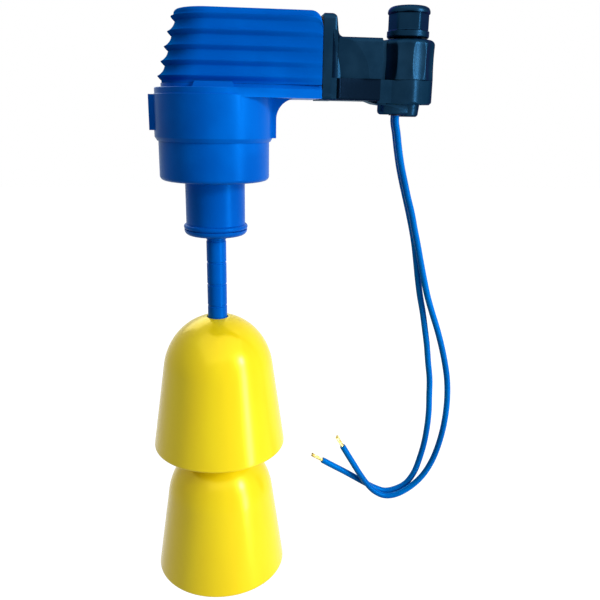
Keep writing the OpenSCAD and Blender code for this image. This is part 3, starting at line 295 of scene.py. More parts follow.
finishes = {
    "blue_plastic": bluePlastic("bluePlastic", blueLook),
    "yellow_plastic": yellowPlastic(yellowLook),
    "black_plastic": blackPlastic("blackPlastic", blackLook),
    "red_plastic": redPlastic(redLook),
    "steel": metal("steel", steelLook),
    "magnet": metal("magnet", magnetLook),
    "brass": metal("brass", brassLook),
    "rubber": rubberSkin(rubberLook),
    "lead_insulation": bluePlastic("leadInsulation", leadPaint),
    "strands": strandMetal(tinnedLook)}
coverFinish = bluePlastic("coverPlastic", coverPaint)
paintedShadeFinish = blackPlastic("paintedShadePlastic", paintedShadeLook)  # painted shade: a darker copy of the black plastic for the plug's lower shell, which sits back in shade
slotOf = {part["node"]: part["material_slot"] for part in frame["record"]["subparts"]}
for nodeName, slotName in slotOf.items():
    cadNodes[nodeName].data.materials.clear()
    cadNodes[nodeName].data.materials.append(finishes[slotName])
print("finishes made:", len(finishes))


def placePiece(name, mesh, body, slot, nodes, finish=None):
    piece = bpy.data.objects.new(name, mesh)
    bpy.context.scene.collection.objects.link(piece)
    mesh.materials.clear()
    mesh.materials.append(finish or finishes[slot])
    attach(piece, body)
    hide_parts(*nodes)
    return piece


# distances in metres within which points become one or an edge goes; an angle in degrees
meshCare = {"newPoints": 2e-7, "shortEdge": 1e-7, "cadPoints": 2e-6, "flatAngle": 0.3}


def smoothShade(mesh, angle):
    mesh.polygons.foreach_set("use_smooth", np.ones(len(mesh.polygons), bool))
    mesh.set_sharp_from_angle(angle=math.radians(angle))


def gridFaces(rows, columns, wrapRows, wrapColumns):
    # numbers of the four corners of each cell, as whole arrays
    i = np.arange(rows if wrapRows else rows - 1)
    j = np.arange(columns if wrapColumns else columns - 1)
    i, j = [a.ravel() for a in np.meshgrid(i, j, indexing="ij")]
    i2, j2 = (i + 1) % rows, (j + 1) % columns
    return np.stack([i * columns + j, i * columns + j2, i2 * columns + j2, i2 * columns + j], 1)


def arrayMesh(name, points, faces, angle):
    # points in metres; edges that turn by more than the angle stay sharp
    mesh = bpy.data.meshes.new(name)
    mesh.vertices.add(len(points))
    mesh.vertices.foreach_set("co", np.asarray(points, np.float32).ravel())
    mesh.loops.add(faces.size)
    mesh.loops.foreach_set("vertex_index", faces.astype(np.int32).ravel())
    mesh.polygons.add(len(faces))
    starts = np.arange(0, faces.size, faces.shape[1], dtype=np.int32)
    mesh.polygons.foreach_set("loop_start", starts)
    mesh.update(calc_edges=True)
    work = bmesh.new()
    work.from_mesh(mesh)
    bmesh.ops.remove_doubles(work, verts=work.verts, dist=meshCare["newPoints"])
    bmesh.ops.dissolve_degenerate(work, dist=meshCare["shortEdge"], edges=work.edges)
    bmesh.ops.recalc_face_normals(work, faces=work.faces)
    work.to_mesh(mesh)
    work.free()
    smoothShade(mesh, angle)
    return mesh


def revolve(name, profile, steps, closed, angle=40):
    # each point of the profile (radius, height) goes round the Z axis; a closed one makes a ring
    profile = np.asarray(profile)
    turn = np.linspace(0, 2 * np.pi, steps, endpoint=False)
    r, z = profile[:, 0][:, None], profile[:, 1][:, None]
    points = np.stack([r * np.cos(turn), r * np.sin(turn), z + 0 * turn], -1).reshape(-1, 3) * mm
    return arrayMesh(name, points, gridFaces(len(profile), steps, closed, True), angle)


def arcPoints(x, y, radius, first, last, count):
    # points on a circle about (x, y), from the first to the last angle in degrees
    t = np.radians(np.linspace(first, last, count))
    return np.stack([x + radius * np.cos(t), y + radius * np.sin(t)], 1)


def smoothStep(x, low, high):
    # 0 up to low and 1 from high on; between them three times the share squared less twice its cube
    t = np.clip((x - low) / (high - low), 0, 1)
    return t * t * (3 - 2 * t)


def roundEdges(piece, width, segments, angle):
    rounding = piece.modifiers.new("rounding", "BEVEL")
    rounding.width, rounding.segments = width * mm, segments
    rounding.limit_method, rounding.angle_limit = "ANGLE", math.radians(angle)
    rounding.miter_outer = "MITER_ARC"


def joinMesh(mesh, flatten):
    # loose triangles are joined at their corners, and flat areas made whole if flatten is set
    work = bmesh.new()
    work.from_mesh(mesh)
    bmesh.ops.remove_doubles(work, verts=work.verts, dist=meshCare["cadPoints"])
    if flatten:
        bmesh.ops.dissolve_limit(work, angle_limit=math.radians(meshCare["flatAngle"]),
                                 verts=work.verts, edges=work.edges)
    work.to_mesh(mesh)
    work.free()


def cutAway(piece, cutters):
    # subtracts closed meshes from a piece for good
    depsgraph = bpy.context.evaluated_depsgraph_get
    for mesh in cutters:
        cutter = bpy.data.objects.new("cutter", mesh)
        bpy.context.scene.collection.objects.link(cutter)
        cut = piece.modifiers.new("cut", "BOOLEAN")
        cut.object, cut.operation, cut.solver = cutter, "DIFFERENCE", "EXACT"
        result = bpy.data.meshes.new_from_object(piece.evaluated_get(depsgraph()))
        piece.modifiers.clear()
        piece.data = result
        bpy.data.objects.remove(cutter)


def dressedCopy(name, node, bevel, segments, angle, smooth=35, body="housing", finish=None,
                cutters=()):
    # the CAD solid with its triangles joined, its flat faces made whole, and its edges sharper
    # than the angle rounded; what is cut away is cut before the faces are made whole
    mesh = cadNodes[node].data.copy()
    joinMesh(mesh, not cutters)
    if mesh.has_custom_normals:
        mesh.normals_split_custom_set([(0, 0, 0)] * len(mesh.loops))
    piece = placePiece(name, mesh, body, slotOf[node], [node], finish)
    if cutters:
        cutAway(piece, cutters)
        joinMesh(piece.data, True)
    smoothShade(piece.data, smooth)
    roundEdges(piece, bevel, segments, angle)


# leads, all in millimetres: the routes repeat the source's points
leadLook = {"diameter": 3.0, "sides": 20, "fine": 8, "endRound": 0.12}
strandLook = {"diameter": 0.42, "length": 6.5, "lengthShare": (0.9, 1.0), "wires": 12,
              "innerWires": 3, "innerRing": 0.24, "outerRing": 0.62, "twist": 2.4, "opening": 0.3,
              "openingShare": (0.2, 1.4), "tuckedIn": 0.6, "sides": 6, "steps": 26}
leadRoutes = {
    "leadA": [[78.6, 1.6, 13], [78.6, 1.6, 9], [79.6, 1.6, 4], [80.8, 1.6, -3], [82.2, 1.6, -10],
              [84, 1.6, -17], [86, 1.6, -24], [88, 1.6, -31], [90, 1.6, -38.5],
              [91.7, 1.6, -46], [93.1, 1.6, -54], [94.4, 1.6, -62], [96, 1.6, -70.5],
              [98, 1.6, -79], [99.7, 1.6, -87.5], [101.3, 1.6, -96], [102.6, 1.6, -105],
              [104, 1.6, -114], [104.5, 1.6, -123], [104.9, 1.6, -132], [104.6, 1.6, -141],
              [103.6, 1.6, -150], [101.8, 1.6, -158.5], [99.5, 1.6, -166], [95.6, 1.6, -172],
              [90.3, 1.6, -175], [84.6, 1.6, -175.9], [79, 1.6, -173.8], [73.5, 1.6, -170.5],
              [68, 1.6, -166.9], [62.3, 1.6, -163.2], [56.6, 1.6, -159.7], [51, 1.6, -156.2]],
    "leadB": [[78.6, -1.6, 13], [78.6, -1.6, 9], [79.6, -1.6, 4], [80.8, -1.6, -3],
              [82.3, -1.6, -10], [84.2, -1.6, -17], [86.2, -1.6, -24], [88.4, -1.6, -31],
              [90.3, -1.6, -38.5], [92.3, -1.6, -46], [94.3, -1.6, -54], [96.4, -1.6, -62],
              [98.8, -1.6, -70.5], [101.6, -1.6, -78.5], [104.6, -1.6, -86.5],
              [107.4, -1.6, -95], [109.9, -1.6, -104], [111.8, -1.6, -113], [112.7, -1.6, -122],
              [112.7, -1.6, -131], [111.9, -1.6, -140], [110.1, -1.6, -149.5],
              [107.3, -1.6, -158.3], [103, -1.6, -166.2], [97, -1.6, -172.3], [90, -1.6, -176.2],
              [83.6, -1.6, -176.7], [78, -1.6, -173.7], [73.6, -1.6, -168.8],
              [69.8, -1.6, -163.1], [66.6, -1.6, -157.7], [63.5, -1.6, -152.4],
              [60.5, -1.6, -147.2]]}


def smoothPath(points, fine):
    # a cubic through each pair of points, whose slope at a point is half the step between its
    # neighbours; fine is the number of steps from point to point
    p = np.asarray(points, float)
    ends = np.vstack([2 * p[0] - p[1], p, 2 * p[-1] - p[-2]])
    slope = (ends[2:] - ends[:-2]) / 2
    t = np.linspace(0, 1, fine, endpoint=False)[None, :, None]
    a, b, sa, sb = p[:-1, None], p[1:, None], slope[:-1, None], slope[1:, None]
    curve = ((2 * t**3 - 3 * t**2 + 1) * a + (t**3 - 2 * t**2 + t) * sa
             + (3 * t**2 - 2 * t**3) * b + (t**3 - t**2) * sb)
    return np.vstack([curve.reshape(-1, 3), p[-1:]])


def pathFrames(path):
    # two unit directions square to the path at each of its points, the first as near as it can be
    # to the Y axis
    along = np.gradient(path, axis=0)
    along /= np.linalg.norm(along, axis=1, keepdims=True)
    side = np.array([0, 1.0, 0]) - along * along[:, 1:2]
    side /= np.linalg.norm(side, axis=1, keepdims=True)
    return side, np.cross(along, side)


def tube(path, radius, sides):
    # a circle of the given radius is carried along the path; the ends close to a point
    side, up = pathFrames(path)
    radius = np.broadcast_to(radius, len(path))[:, None, None]
    t = np.linspace(0, 2 * np.pi, sides, endpoint=False)[None, :, None]
    rings = path[:, None] + radius * (np.cos(t) * side[:, None] + np.sin(t) * up[:, None])
    first, last = np.repeat(path[:1, None], sides, 1), np.repeat(path[-1:, None], sides, 1)
    rings = np.concatenate([first, rings, last])
    return rings.reshape(-1, 3), gridFaces(len(rings), sides, False, True)


def makeStrands(name, node, path, look):
    # wires lie in two rings about the lead's axis, twist evenly along it, and open at the tip as
    # the cube of the way along
    along = path[-1] - path[-2]
    along /= np.linalg.norm(along)
    side = np.cross(along, (0, 1, 0))
    up = np.cross(side, along)
    start = path[-1] - look["tuckedIn"] * along
    t = np.linspace(0, 1, look["steps"])[:, None]
    allPoints, allFaces, count = [], [], 0
    for wire in range(look["wires"]):
        inner = wire < look["innerWires"]
        ringWires = look["innerWires"] if inner else look["wires"] - look["innerWires"]
        ring = look["innerRing"] if inner else look["outerRing"]
        turn = wire * 2 * np.pi / ringWires + look["twist"] * t
        spread = ring * (1 + look["opening"] * t**3 * rng.uniform(*look["openingShare"]))
        length = look["length"] * rng.uniform(*look["lengthShare"])
        outwards = np.cos(turn) * side + np.sin(turn) * up
        core = start + (look["tuckedIn"] + length) * t * along + spread * outwards
        points, faces = tube(core, look["diameter"] / 2, look["sides"])
        allPoints.append(points)
        allFaces.append(faces + count)
        count += len(points)
    mesh = arrayMesh(name, np.vstack(allPoints) * mm, np.vstack(allFaces), 50)
    return placePiece(name, mesh, "housing", "strands", [node])


def makeLead(name, node, look):
    path = smoothPath(leadRoutes[name], look["fine"])
    reach = float(np.linalg.norm(np.diff(path, axis=0), axis=1).sum())
    radius = np.full(len(path), look["diameter"] / 2)
    radius[-1] -= look["endRound"]
    points, faces = tube(path, radius, look["sides"])
    mesh = arrayMesh(name, points * mm, faces, 50)
    lead = placePiece(name, mesh, "housing", "lead_insulation", [node])
    strands = makeStrands(name + "Strands", node + "_strands", path, strandLook)
    return reach


for leadName, leadNode in (("leadA", "lead_a"), ("leadB", "lead_b")):
    print(leadName, "is", round(makeLead(leadName, leadNode, leadLook), 1), "mm long")


# floats: the shoulder and dome are the dome's half axes, the seat holds the base disc
floatLook = {"radius": 30.99, "height": 63.9, "shoulder": 25.6, "dome": 27.6, "edge": 0.9,
             "bore": 4.7, "lip": 0.5, "wall": 1.8, "skirtWall": 2.8, "seat": 4.0,
             "seatChamfer": 0.3, "hub": 7.0, "hubDepth": 12.0, "steps": 240,
             "tops": {"upperFloat": -77.7, "lowerFloat": -143.3}}
floatBase = {"bevel": 0.3, "segments": 2, "angle": 30}


def bellProfile(top, look):
    # outside: an elliptic dome cut by the bore, a straight flared skirt that carries on the dome's
    # last slope, and a rounded lower edge; inside: the same dome one wall in, and a straight skirt
    flare = math.atan((look["radius"] - look["shoulder"]) / (look["height"] - look["dome"]))
    lip, lowEdge, wall = look["lip"], look["edge"], look["wall"]
    foot, hubEnd = top - look["height"], top - look["hubDepth"]

    def dome(firstRadius, halfWidth, depth, high, count):
        t = np.linspace(math.asin(firstRadius / halfWidth),
                        math.atan(halfWidth / depth / math.tan(flare)), count)
        return np.stack([halfWidth * np.sin(t), high - depth + depth * np.cos(t)], 1)

    outside = dome(look["bore"] + lip, look["shoulder"], look["dome"], top, 60)
    mouth = arcPoints(look["bore"] + lip, outside[0, 1] - lip, lip, 180, 100, 6)
    edge = arcPoints(look["radius"] - lowEdge, foot + lowEdge, lowEdge, math.degrees(flare),
                     -90, 12)
    a, b = outside[-1], edge[0]
    skirt = a + (b - a) * np.linspace(0, 1, 26)[1:-1, None]
    inner, chamfer = look["radius"] - look["skirtWall"], look["seatChamfer"]
    inside = dome(look["hub"], look["shoulder"] - wall, look["dome"] - wall, top - wall, 24)
    seat = [[inner + chamfer, foot], [inner, foot + chamfer], [inner, foot + look["seat"]]]
    hub = [[look["hub"], hubEnd], [look["bore"], hubEnd]]
    return np.vstack([mouth, outside, skirt, edge, seat, inside[::-1], hub])


for name, node in (("upperFloat", "upper_float"), ("lowerFloat", "lower_float")):
    profile = bellProfile(floatLook["tops"][name], floatLook)
    bell = revolve(name, profile, floatLook["steps"], True)
    placePiece(name, bell, node, "yellow_plastic", [node])  # each float has a body of its own
    dressedCopy(name + "Base", node + "_base", **floatBase, body=node)
print("floats made")


rodLook = {"radius": 4.4, "bottom": -216.1, "top": -0.6, "chamfer": 0.4, "firstMark": -42.8,
           "markPitch": 10, "markWidth": 0.8, "markDepth": 0.25, "markSlope": 0.16,
           "rowStep": 0.1, "steps": 96}
rodEndPieces = {"endNut": "end_nut", "endWasher": "end_washer", "magnetHolder": "magnet_holder"}
rodEndEdges = {"bevel": 0.2, "segments": 2, "angle": 30}


def rodProfile(look):
    # a straight shaft whose radius dips at each mark, down sides that slope evenly
    pitch, slope = look["markPitch"], look["markSlope"]
    z = np.arange(look["bottom"] + look["chamfer"], look["top"], look["rowStep"])
    offset = np.abs((look["firstMark"] - z + pitch / 2) % pitch - pitch / 2)
    depth = np.clip((look["markWidth"] / 2 + slope / 2 - offset) / slope, 0, 1)
    r = look["radius"] - look["markDepth"] * depth * (z < look["firstMark"] + pitch / 2)
    # where the radius stays the same, only the two ends of the stretch are kept
    keep = np.r_[True, np.abs(np.diff(r)) > 1e-6]
    keep = keep | np.r_[keep[1:], True]
    shaft = np.stack([r, z], 1)[keep]
    lowEnd = [[0, look["bottom"]], [look["radius"] - look["chamfer"], look["bottom"]]]
    return np.vstack([lowEnd, shaft, [[look["radius"], look["top"]], [0, look["top"]]]])


rodMesh = revolve("liftRod", rodProfile(rodLook), rodLook["steps"], False, 30)
placePiece("liftRod", rodMesh, "lift_rod", "blue_plastic", ["rod"])
for name, node in rodEndPieces.items():
    dressedCopy(name, node, **rodEndEdges, body="lift_rod")
print("rod made")


# cover: each rib's round end reaches the rake further than the one above it; the crown's foot
# gives rises above the last rib's tip and their insets
coverLook = {"halfWidth": 15.0, "reach": 43.6, "bottom": 23.9, "lip": 0.9, "top": 51.2,
             "ribs": 5, "pitch": 5.7, "depth": 1.6, "undercut": 1.8, "undercutPower": 1.25,
             "hollowPower": 2.4, "ribReach": 16.6, "rake": 1.55, "rakePower": 0.6,
             "crownFoot": ((0.12, 0.35), (0.3, 0.85), (0.5, 1.12)), "crownStep": 1.2,
             "crownRound": 1.7, "crownMargin": 0.7, "cornerRound": 4.6, "kneeDrop": 11.0,
             "fadeStart": 14.0, "fadeEnd": 46.0, "fadePower": 1.6,
             "topRings": (0.8, 0.5, 0.2, 0.0)}
cavityLook = {"top": 48.7, "half": 11.5, "end": 41.1, "left": 13.4}
screwLook = {"places": ((-10.3, 0), (36, -8.9), (36, 8.9)), "hole": 1.7, "holeBottom": 30.0,
             "recess": 3.0, "recessDepth": 1.3, "chamfer": 0.15, "flare": 0.25, "rise": 2.0,
             "steps": 48}


def coverHeights(look):
    # going up: height, inset from the ribs' tips, and place of the round end's centre. A rib comes
    # out over its undercut as a power of the way up, and the hollow above it goes in as another
    under, over = np.linspace(0, 1, 7), np.linspace(0, 1, 12)[1:]
    last = look["ribs"] - 1
    ribs = []
    for i in range(look["ribs"]):
        root = look["bottom"] + i * look["pitch"]
        centre = look["halfWidth"] - look["ribReach"] - (last - i) * look["rake"]
        ribs.append(np.stack([root + look["undercut"] * under,
                              look["depth"] * (1 - under) ** look["undercutPower"],
                              centre + 0 * under], 1))
        if i < last:
            hollow = look["pitch"] - look["undercut"]
            ribs.append(np.stack([root + look["undercut"] + hollow * over,
                                  look["depth"] * (1 - (1 - over) ** look["hollowPower"]),
                                  centre + look["rake"] * over ** look["rakePower"]], 1))
    seam = [[look["bottom"] - look["lip"], look["depth"], ribs[0][0, 2]]]
    rows = np.vstack([seam, *ribs])
    tip, centre = rows[-1, 0], rows[-1, 2]
    foot = [[tip + rise, inset, centre] for rise, inset in look["crownFoot"]]
    crown = arcPoints(0, look["top"] - look["crownRound"], look["crownRound"], 0, 90, 9)
    inset = look["crownStep"] + look["crownRound"] - crown[:, 0]
    return np.vstack([rows, foot, np.stack([crown[:, 1], inset, 0 * inset + centre], 1)])


def bulletPlan(half, centre, reach, fade):
    # closed plan outline of each row: a half circle at the left, two straight sides that swell out
    # to the end by the fade, and the flat end; columns run against the clock from the end's middle
    side = np.linspace(0, 1, 60)[:-1]
    turn = np.linspace(np.pi / 2, 3 * np.pi / 2, 49)[1:-1]
    end = np.linspace(-1, 1, 12)[1:-1]
    half, centre = half[:, None], centre[:, None]
    backX = reach + (centre - reach) * side
    frontX = backX[:, ::-1]
    backY, frontY = fade(half, backX), -fade(half, frontX)
    endY = fade(half, np.full_like(half, reach)) * end
    x = np.concatenate([backX, centre, centre + half * np.cos(turn), centre, frontX,
                        reach + 0 * endY], 1)
    y = np.concatenate([backY, half, half * np.sin(turn), -half, frontY, endY], 1)
    return x, y


def coverOutside(look):
    # x, y and z of the rows: the plan outline at each height, then rings that close the top
    rows = coverHeights(look)
    height, inset, centre = rows.T
    reach, top = look["reach"], look["top"]
    crownRow = height > top - look["crownRound"] - look["crownMargin"]

    def fade(inner, x):
        # ribs run out towards the end flange, where the side stands at the ribs' full width
        run = np.clip((x - look["fadeStart"]) / (look["fadeEnd"] - look["fadeStart"]), 0, 1)
        full = np.where(crownRow[:, None], inner, look["halfWidth"])
        return inner + (full - inner) * run ** look["fadePower"]

    x, y = bulletPlan(look["halfWidth"] - inset, centre, reach, fade)
    z = np.repeat(height[:, None], x.shape[1], 1)
    # the top corner at the end is rounded: heights above the knee are squeezed under its arc
    knee, r = top - look["kneeDrop"], look["cornerRound"]
    drop = r - np.sqrt(np.maximum(r * r - np.maximum(x - reach + r, 0) ** 2, 0))
    z = np.where(z > knee, knee + (z - knee) * (top - knee - drop) / (top - knee), z)
    shrink = np.array(look["topRings"])[:, None]
    middle = np.clip(x[-1], centre[-1], reach)
    x = np.vstack([x, middle + (x[-1] - middle) * shrink])
    y = np.vstack([y, y[-1] * shrink])
    return x, y, np.vstack([z, np.repeat(z[-1:], len(shrink), 0)])


def coverInside(look, seamHeight):
    # x, y and z of the cavity, walked from its closed top down to the seam
    half, end = look["half"], look["end"]
    x, y = bulletPlan(np.full(2, half), np.full(2, half - look["left"]), end,
                      lambda inner, x: inner + 0 * x)
    z = np.array([look["top"], seamHeight])[:, None] + 0 * x
    roof = np.clip(x[0], x[0].min() + half, end)
    return np.vstack([roof, x]), np.vstack([0 * y[:1], y]), np.vstack([z[:1], z])


def screwCutter(place, top, look):
    # a turned hole with a recess for the screw's head and a small flare at the cover's top
    floor, high = top - look["recessDepth"], top + look["rise"]
    hole = [[0, look["holeBottom"]], [look["hole"], look["holeBottom"]], [look["hole"], floor],
            [look["recess"], floor], [look["recess"], top - look["chamfer"]],
            [look["recess"] + look["flare"], high], [0, high]]
    cutter = revolve("hole", hole, look["steps"], False)
    cutter.transform(Matrix.Translation((place[0] * mm, place[1] * mm, 0)))
    return cutter


def makeCover(look, cavity, screws):
    outside, inside = coverOutside(look), coverInside(cavity, look["bottom"] - look["lip"])
    points = np.stack([np.vstack(pair) for pair in zip(inside, outside)], -1)
    rows, columns = points.shape[:2]
    mesh = arrayMesh("ribbedCover", points.reshape(-1, 3) * mm,
                     gridFaces(rows, columns, False, True), 50)
    cover = placePiece("ribbedCover", mesh, "housing", "blue_plastic", ["ribbed_cover"],
                       coverFinish)
    cutAway(cover, [screwCutter(place, look["top"], screws) for place in screws["places"]])
    smoothShade(cover.data, 50)


makeCover(coverLook, cavityLook, screwLook)
print("cover made")

# moulded pieces that keep the CAD's shape: the bevel in millimetres, its segments, and the angle
# in degrees above which an edge gets it
mouldedEdges = {
    "baseBody": {"node": "base_body", "bevel": 0.24, "segments": 3, "angle": 24},
    "guideBush": {"node": "guide_bush", "bevel": 0.05, "segments": 1, "angle": 30},
    "coverScrews": {"node": "cover_screws", "bevel": 0.12, "segments": 2, "angle": 40},
    "socketFlange": {"node": "socket_flange", "bevel": 0.4, "segments": 3, "angle": 24},
    "plugUpperShell": {"node": "plug_upper_shell", "bevel": 0.35, "segments": 3, "angle": 14,
                       "smooth": 16},
    # the lower shell takes the darker copy of the black plastic, which is painted shade
    "plugLowerShell": {"node": "plug_lower_shell", "bevel": 0.4, "segments": 3, "angle": 24,
                       "finish": paintedShadeFinish}}
for name, edges in mouldedEdges.items():
    dressedCopy(name, **edges)

# cap nut: rim is the height of the round rims, where the flats fade out over the fade's two sides
nutLook = {"x": 82.3, "bottom": 43.0, "height": 12.5, "radius": 8.9, "flat": 7.62,
           "sharpness": 18, "turn": 16.0, "rim": 2.7, "rimFade": (0.4, 0.5), "rimFree": 2.0,
           "lowRound": 0.9, "topRound": 2.2, "wallGap": 0.1, "thread": 6.55, "threadMargin": 0.2,
           "threadDepth": 10.2, "bore": 4.0, "soft": 0.14, "steps": 240}


def makeNut(look):
    # a turned outline, held in between the rims to a hexagon with rounded corners: the flat's
    # distance over the p-th root of the sum, over the six sides, of the cosine to the side to the
    # power p. The wall is the softened lesser of the two: half their sum less half the root of
    # their difference squared plus the softness squared
    height, radius = look["height"], look["radius"]
    lowRound, topRound, gap = look["lowRound"], look["topRound"], look["wallGap"]
    low = arcPoints(radius - lowRound, lowRound, lowRound, -90, 0, 8)
    wallZ = np.linspace(lowRound + gap, height - topRound - gap, 48)
    wall = np.stack([np.full_like(wallZ, radius), wallZ], 1)
    top = arcPoints(radius - topRound, height - topRound, topRound, 0, 90, 12)
    outline = np.vstack([[[look["thread"], look["threadDepth"]], [look["thread"], 0]], low, wall,
                         top, [[look["bore"], height], [look["bore"], look["threadDepth"]]]])
    turn = np.linspace(0, 2 * np.pi, look["steps"], endpoint=False)
    # a corner stands at the nut's turn from the front
    sides = np.radians(np.arange(6) * 60 + look["turn"] - 60)
    facing = (np.clip(np.cos(turn[:, None] - sides), 0, 1) ** look["sharpness"]).sum(1)
    hexagon = facing ** (-1 / look["sharpness"])
    middle = np.abs(outline[:, 1] - height / 2)
    flatEnd = height / 2 - look["rim"]
    before, after = look["rimFade"]
    free = smoothStep(middle, flatEnd - before, flatEnd + after) * look["rimFree"]
    limit = (look["flat"] + free)[:, None] * hexagon[None, :]
    wide = outline[:, :1]
    r = (wide + limit - np.sqrt((wide - limit) ** 2 + look["soft"] ** 2)) / 2
    r = np.where(wide > look["thread"] + look["threadMargin"], r, wide)
    z = np.repeat(outline[:, 1:] + look["bottom"], len(turn), 1)
    points = np.stack([r * np.cos(turn) + look["x"], r * np.sin(turn), z], -1).reshape(-1, 3)
    mesh = arrayMesh("capNut", points * mm, gridFaces(len(outline), len(turn), True, True), 50)
    placePiece("capNut", mesh, "housing", "black_plastic", ["cap_nut"])


makeNut(nutLook)

# hexagonal foot: its corners are cut away over the angles from and to, counted from the plug's far
# side in degrees
footLook = {"x": 82.3, "apothem": 10.95, "bottom": 16.0, "top": 26.2, "sharpness": 10,
            "from": -112, "to": 112, "steps": 225, "outside": 14.0}
footEdges = {"bevel": 0.35, "segments": 2, "angle": 30}


def makeFoot(look):
    # corners are rounded to the apothem over the p-th root of the sum, over the six sides, of the
    # cosine to the side to the power p: the cutter is a wall from there outwards, carried round
    # all but the plug's side
    t = np.radians(np.linspace(look["from"], look["to"], look["steps"]))
    sides = np.radians(np.arange(6) * 60)
    facing = np.clip(np.cos(t[:, None] - sides), 0, 1) ** look["sharpness"]
    inner = look["apothem"] / facing.sum(1) ** (1 / look["sharpness"])
    outer = np.full_like(inner, look["outside"])
    r = np.stack([inner, outer, outer, inner], 1)
    z = np.array([look["bottom"], look["bottom"], look["top"], look["top"]]) + 0 * r
    rings = np.stack([r * np.cos(t)[:, None] + look["x"], r * np.sin(t)[:, None], z], -1)
    middle = rings.mean(1, keepdims=True)
    rings = np.concatenate([np.repeat(middle[:1], 4, 1), rings, np.repeat(middle[-1:], 4, 1)])
    cutter = arrayMesh("cutter", rings.reshape(-1, 3) * mm,
                       gridFaces(len(rings), 4, False, True), 40)
    dressedCopy("glandFoot", "gland_foot", **footEdges, cutters=[cutter])


makeFoot(footLook)

# fluted column, the thread that the cap nut turns on, and the block that joins the plug
columnLook = {"x": 82.3, "radius": 11.9, "bottom": 26.0, "top": 42.3, "topRound": 2.4,
              "lowChamfer": 0.25, "bore": 4.0, "boreFloor": 29.0, "flutes": 12,
              "fluteSteps": 24, "fluteDepth": 0.8, "fluteTurn": -3.0, "lowerEase": 0.55,
              "upperEase": 0.8, "ridgeSoft": 0.12, "rimFrom": 1.0, "rimTo": 0.5}
threadLook = {"radius": 6.4, "top": 52.3, "pitch": 1.5, "depth": 0.7, "start": 0.6, "foot": 1.0,
              "rowStep": 0.25, "steps": 72}
blockLook = {"start": 68.5, "end": 75.0, "half": 5.6, "below": 0.6}


def turnedGrid(outline, radius, turn, x):
    # the outline's rows, each at its height and with its own radius at each angle, about x
    z = np.repeat(outline[:, 1:], len(turn), 1)
    return np.stack([radius * np.cos(turn) + x, radius * np.sin(turn), z], -1).reshape(-1, 3)


def columnSurface(look):
    # the wall's radius is the column's less a flute: the depth times what is left of the height's
    # share, which falls towards both ends as a parabola, less the square of the distance round the
    # wall from the flute's middle over half the pitch. A flute counts as half the sum of itself and
    # the root of its square plus the softness squared, which rounds the ridges
    radius, top, topRound = look["radius"], look["top"], look["topRound"]
    corner = arcPoints(radius - topRound, top - topRound, topRound, 0, 90, 12)
    wallZ = np.linspace(look["bottom"] + look["lowChamfer"], top - topRound, 40)
    foot = [[0, look["bottom"]], [radius - look["lowChamfer"], look["bottom"]]]
    bore = [[look["bore"], top], [look["bore"], look["boreFloor"]], [0, look["boreFloor"]]]
    outline = np.vstack([foot, np.stack([np.full_like(wallZ, radius), wallZ], 1), corner[1:],
                         bore])
    turn = np.linspace(0, 2 * np.pi, look["fluteSteps"] * look["flutes"], endpoint=False)
    pitch = 2 * np.pi / look["flutes"]
    # ridges stand at the flute's turn plus whole pitches, counted from the front
    away = (turn + np.pi / 2 - math.radians(look["fluteTurn"]) + pitch / 2) % pitch - pitch / 2
    across = ((pitch / 2 - np.abs(away)) / (pitch / 2)) ** 2
    middle, halfHeight = (look["bottom"] + top) / 2, (top - look["bottom"]) / 2
    up = (outline[:, 1] - middle) / halfHeight
    along = 1 - np.where(up > 0, look["upperEase"], look["lowerEase"]) * up * up
    flute = look["fluteDepth"] * (along[:, None] - across[None, :])
    cut = (flute + np.sqrt(flute**2 + look["ridgeSoft"] ** 2)) / 2
    outer = smoothStep(outline[:, :1], radius - topRound - look["rimFrom"],
                       radius - look["rimTo"])
    points = turnedGrid(outline, outline[:, :1] - cut * outer, turn, look["x"])
    return points, gridFaces(len(outline), len(turn), False, True)


def threadSurface(look, column):
    # an outline whose radius goes evenly in and out again over each pitch, turned round the bore
    top, root = column["top"], look["radius"] - look["depth"]
    z = np.arange(top + look["start"], look["top"], look["rowStep"])
    saw = np.abs((z / look["pitch"]) % 1 - 0.5) * 2
    outline = np.vstack([[[column["bore"], top - look["foot"]], [root, top - look["foot"]]],
                         np.stack([look["radius"] - look["depth"] * (1 - saw), z], 1),
                         [[column["bore"], look["top"]]]])
    turn = np.linspace(0, 2 * np.pi, look["steps"], endpoint=False)
    points = turnedGrid(outline, outline[:, :1], turn, column["x"])
    return points, gridFaces(len(outline), len(turn), True, True)


def blockSurface(look, column):
    # the eight corners of a plain block
    spans = ((look["start"], look["end"]), (-look["half"], look["half"]),
             (column["bottom"], column["top"] - look["below"]))
    points = np.stack(np.meshgrid(*spans, indexing="ij"), -1).reshape(-1, 3)
    return points, np.array([[0, 1, 3, 2], [4, 6, 7, 5], [0, 4, 5, 1], [2, 3, 7, 6],
                             [0, 2, 6, 4], [1, 5, 7, 3]])


def makeColumn(column, thread, block):
    # three surfaces in one mesh: each one's faces count on from the points before it
    parts = [columnSurface(column), threadSurface(thread, column), blockSurface(block, column)]
    firsts = np.cumsum([0] + [len(points) for points, _ in parts])
    points = np.vstack([points for points, _ in parts])
    faces = np.vstack([faces + first for (_, faces), first in zip(parts, firsts)])
    mesh = arrayMesh("glandColumn", points * mm, faces, 50)
    placePiece("glandColumn", mesh, "housing", "black_plastic", ["gland_column"])


makeColumn(columnLook, threadLook, blockLook)
print("head and connector made")


